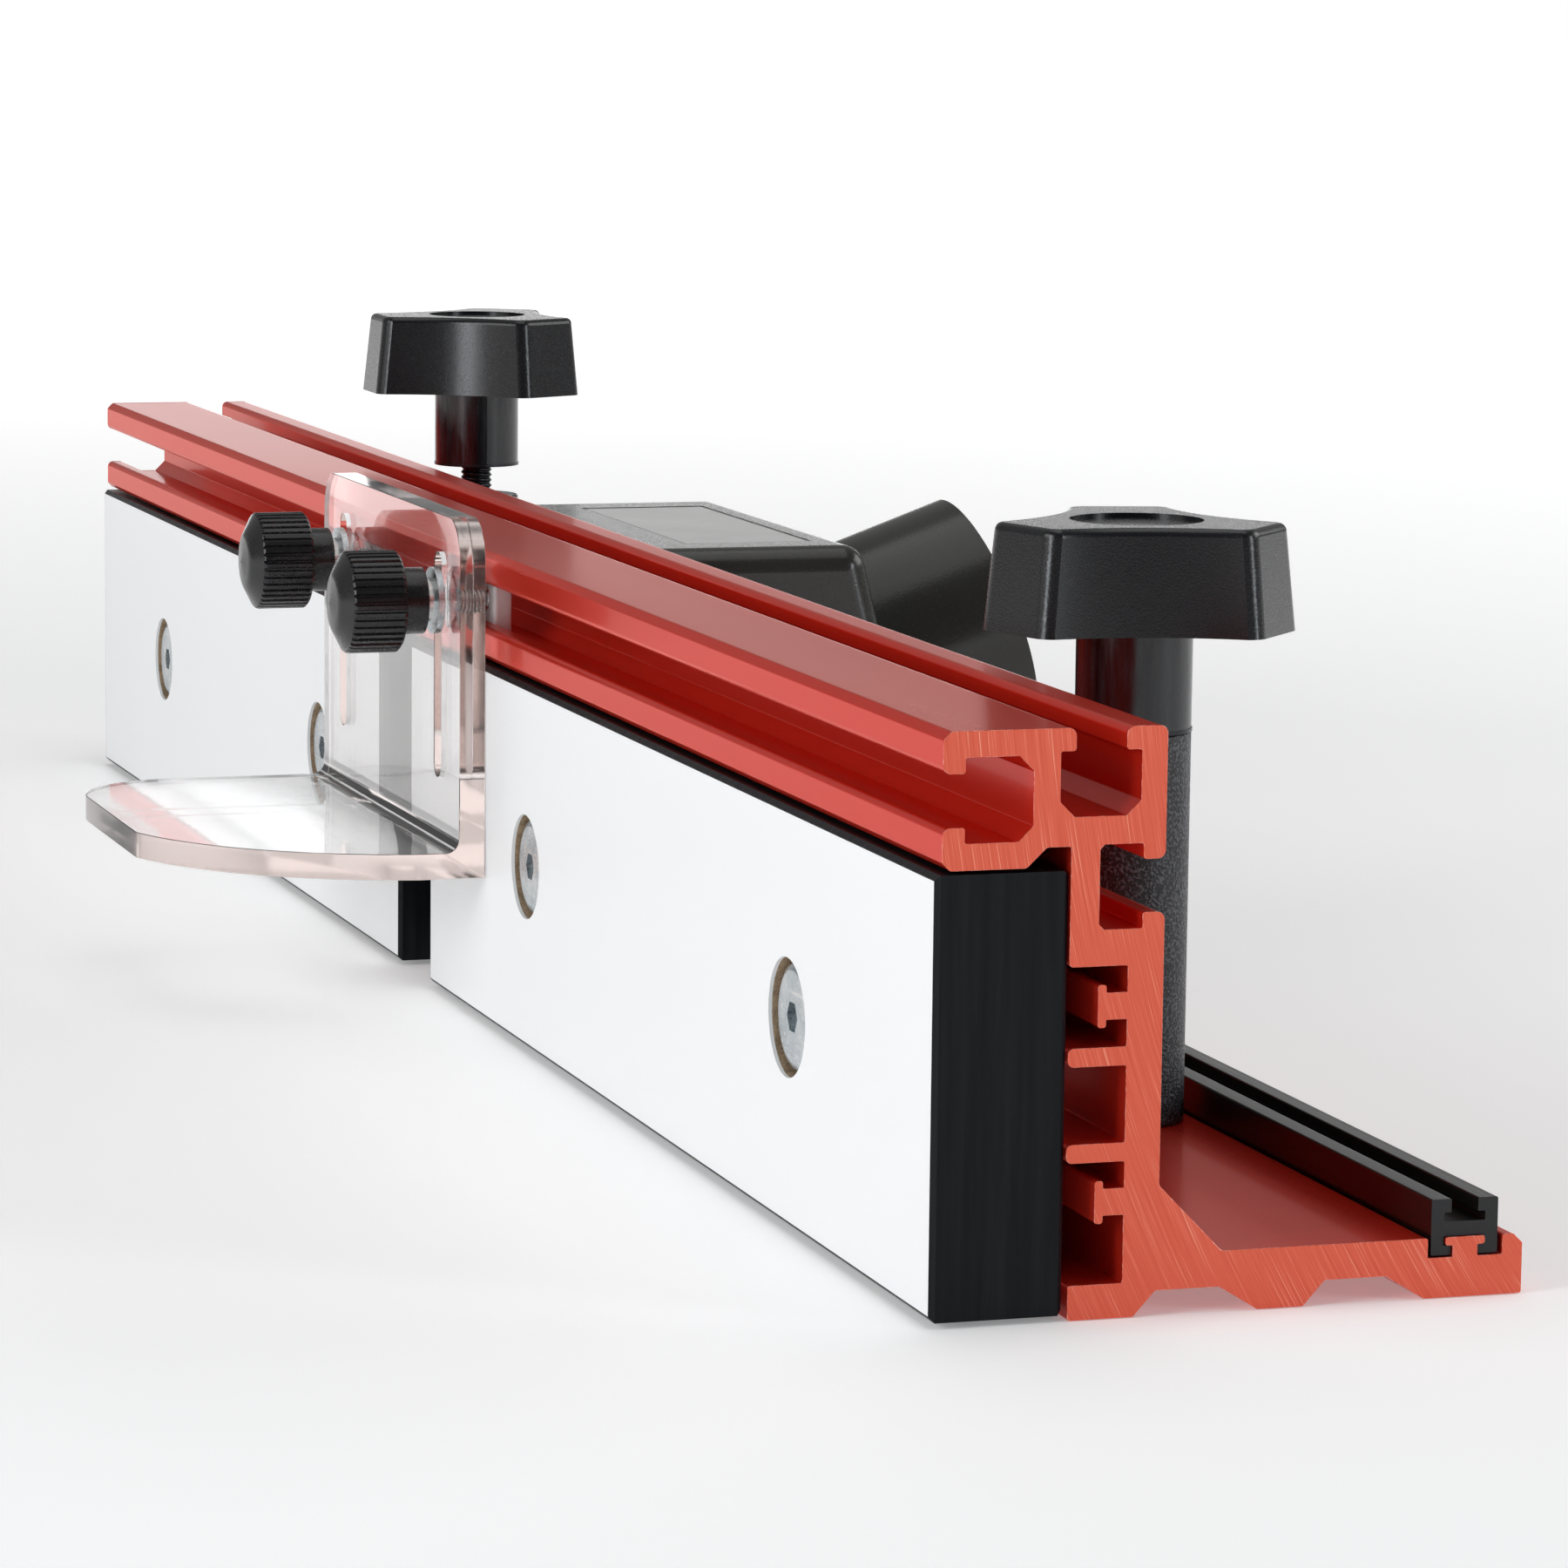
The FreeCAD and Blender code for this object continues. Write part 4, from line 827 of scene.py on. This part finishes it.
# ---------------------------------------------------------------- clamp posts
# Blackened steel studs stand in the base, each inside a tall black sleeve with a rough cast skin. A thin
# thrust washer lies between sleeve and knob.
dark_steel = grained_finish("blackened steel", (0.020, 0.020, 0.023), 0.3, grain=0.0006, patch=0.008,
                            tones=((0.012, 0.012, 0.014), (0.045, 0.046, 0.052)), rough_span=(0.2, 0.4),
                            metallic=0.75)
dark_thread = thread_tree(dark_steel)
stud_radius = 0.00475
stud_pitch = 0.0015875
for side in SIDES:
    low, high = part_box(side + "_clamp_stud")
    centre = (low + high) / 2
    stud = threaded_rod(side + "_threaded_stud", dark_thread, stud_radius, stud_pitch, high.z - low.z,
                        turn=(0.0, 0.0, 0.0), place=(centre.x, centre.y, low.z))
    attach(stud, "fence")
    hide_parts(side + "_clamp_stud")
    give(dark_steel, side + "_clamp_washer")

sleeve_skin, tree, shader = new_finish("rough black sleeve", (0.010, 0.010, 0.012), 0.5)
speckle = place_grain(tree, 0.00065, 0.01)
flecks = spread(tree, speckle.outputs["Height"], 0.50, 0.62)
skin_dark, skin_fleck = (0.002, 0.002, 0.003), (0.090, 0.096, 0.112)
tree.links.new(blend_colors(tree, flecks, skin_dark, skin_fleck), shader.inputs["Base Color"])
tree.links.new(spread(tree, speckle.outputs["Height"], *noise_span, 0.50, 0.26), shader.inputs["Roughness"])
relief(tree, shader, speckle.outputs["Height"], depth=0.0004, strength=0.9)
for side in SIDES:
    give(sleeve_skin, side + "_clamp_sleeve")


# ---------------------------------------------------------------- clamp knobs
# Three-lobed knobs moulded in glass-filled black plastic with a long shank. The shank is glossy and
# lightly streaked from the tool; the head is satin; a turned brass insert carries the thread.
head_height = 0.0229
shank_gap = 0.0002
head_tones = ((0.003, 0.0033, 0.0045), (0.007, 0.0075, 0.0095))
shank_tones = ((0.003, 0.003, 0.004), (0.012, 0.014, 0.018))
for side in SIDES:
    low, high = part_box(side + "_clamp_knob")
    knob_skin, tree, shader = new_finish(side + " knob plastic", (0.006, 0.006, 0.007), 0.28)
    knob_grain = place_grain(tree, 0.00045, 0.02)
    shank_top = high.z - head_height
    shank = calculate(tree, "LESS_THAN", object_parts(tree)["Z"], shank_top - shank_gap)
    streaks = add_node(tree, "ShaderNodeTexNoise", {"Scale": 1.0, "Detail": 4.0, "Roughness": 0.7})
    tree.links.new(object_place(tree, (520.0, 520.0, 60.0)), streaks.inputs["Vector"])
    head_color = blend_colors(tree, knob_grain.outputs["Tone"], *head_tones)
    shank_color = blend_colors(tree, spread(tree, streaks.outputs["Fac"], 0.35, 0.7), *shank_tones)
    tree.links.new(blend_colors(tree, shank, head_color, shank_color), shader.inputs["Base Color"])
    head_rough = spread(tree, knob_grain.outputs["Height"], *noise_span, 0.17, 0.29)
    shank_rough = spread(tree, streaks.outputs["Fac"], *noise_span, 0.10, 0.34)
    tree.links.new(blend_values(tree, shank, head_rough, shank_rough), shader.inputs["Roughness"])
    knob_relief = blend_values(tree, shank, knob_grain.outputs["Height"], streaks.outputs["Fac"])
    relief(tree, shader, knob_relief, depth=0.00006, strength=0.4)
    give(knob_skin, side + "_clamp_knob")

brass = grained_finish("turned brass", (0.72, 0.52, 0.22), 0.26, grain=0.0005, patch=0.004,
                       tones=((0.64, 0.45, 0.18), (0.80, 0.60, 0.28)), rough_span=(0.2, 0.34), metallic=1.0)
for side in SIDES:
    give(brass, side + "_clamp_knob_insert")
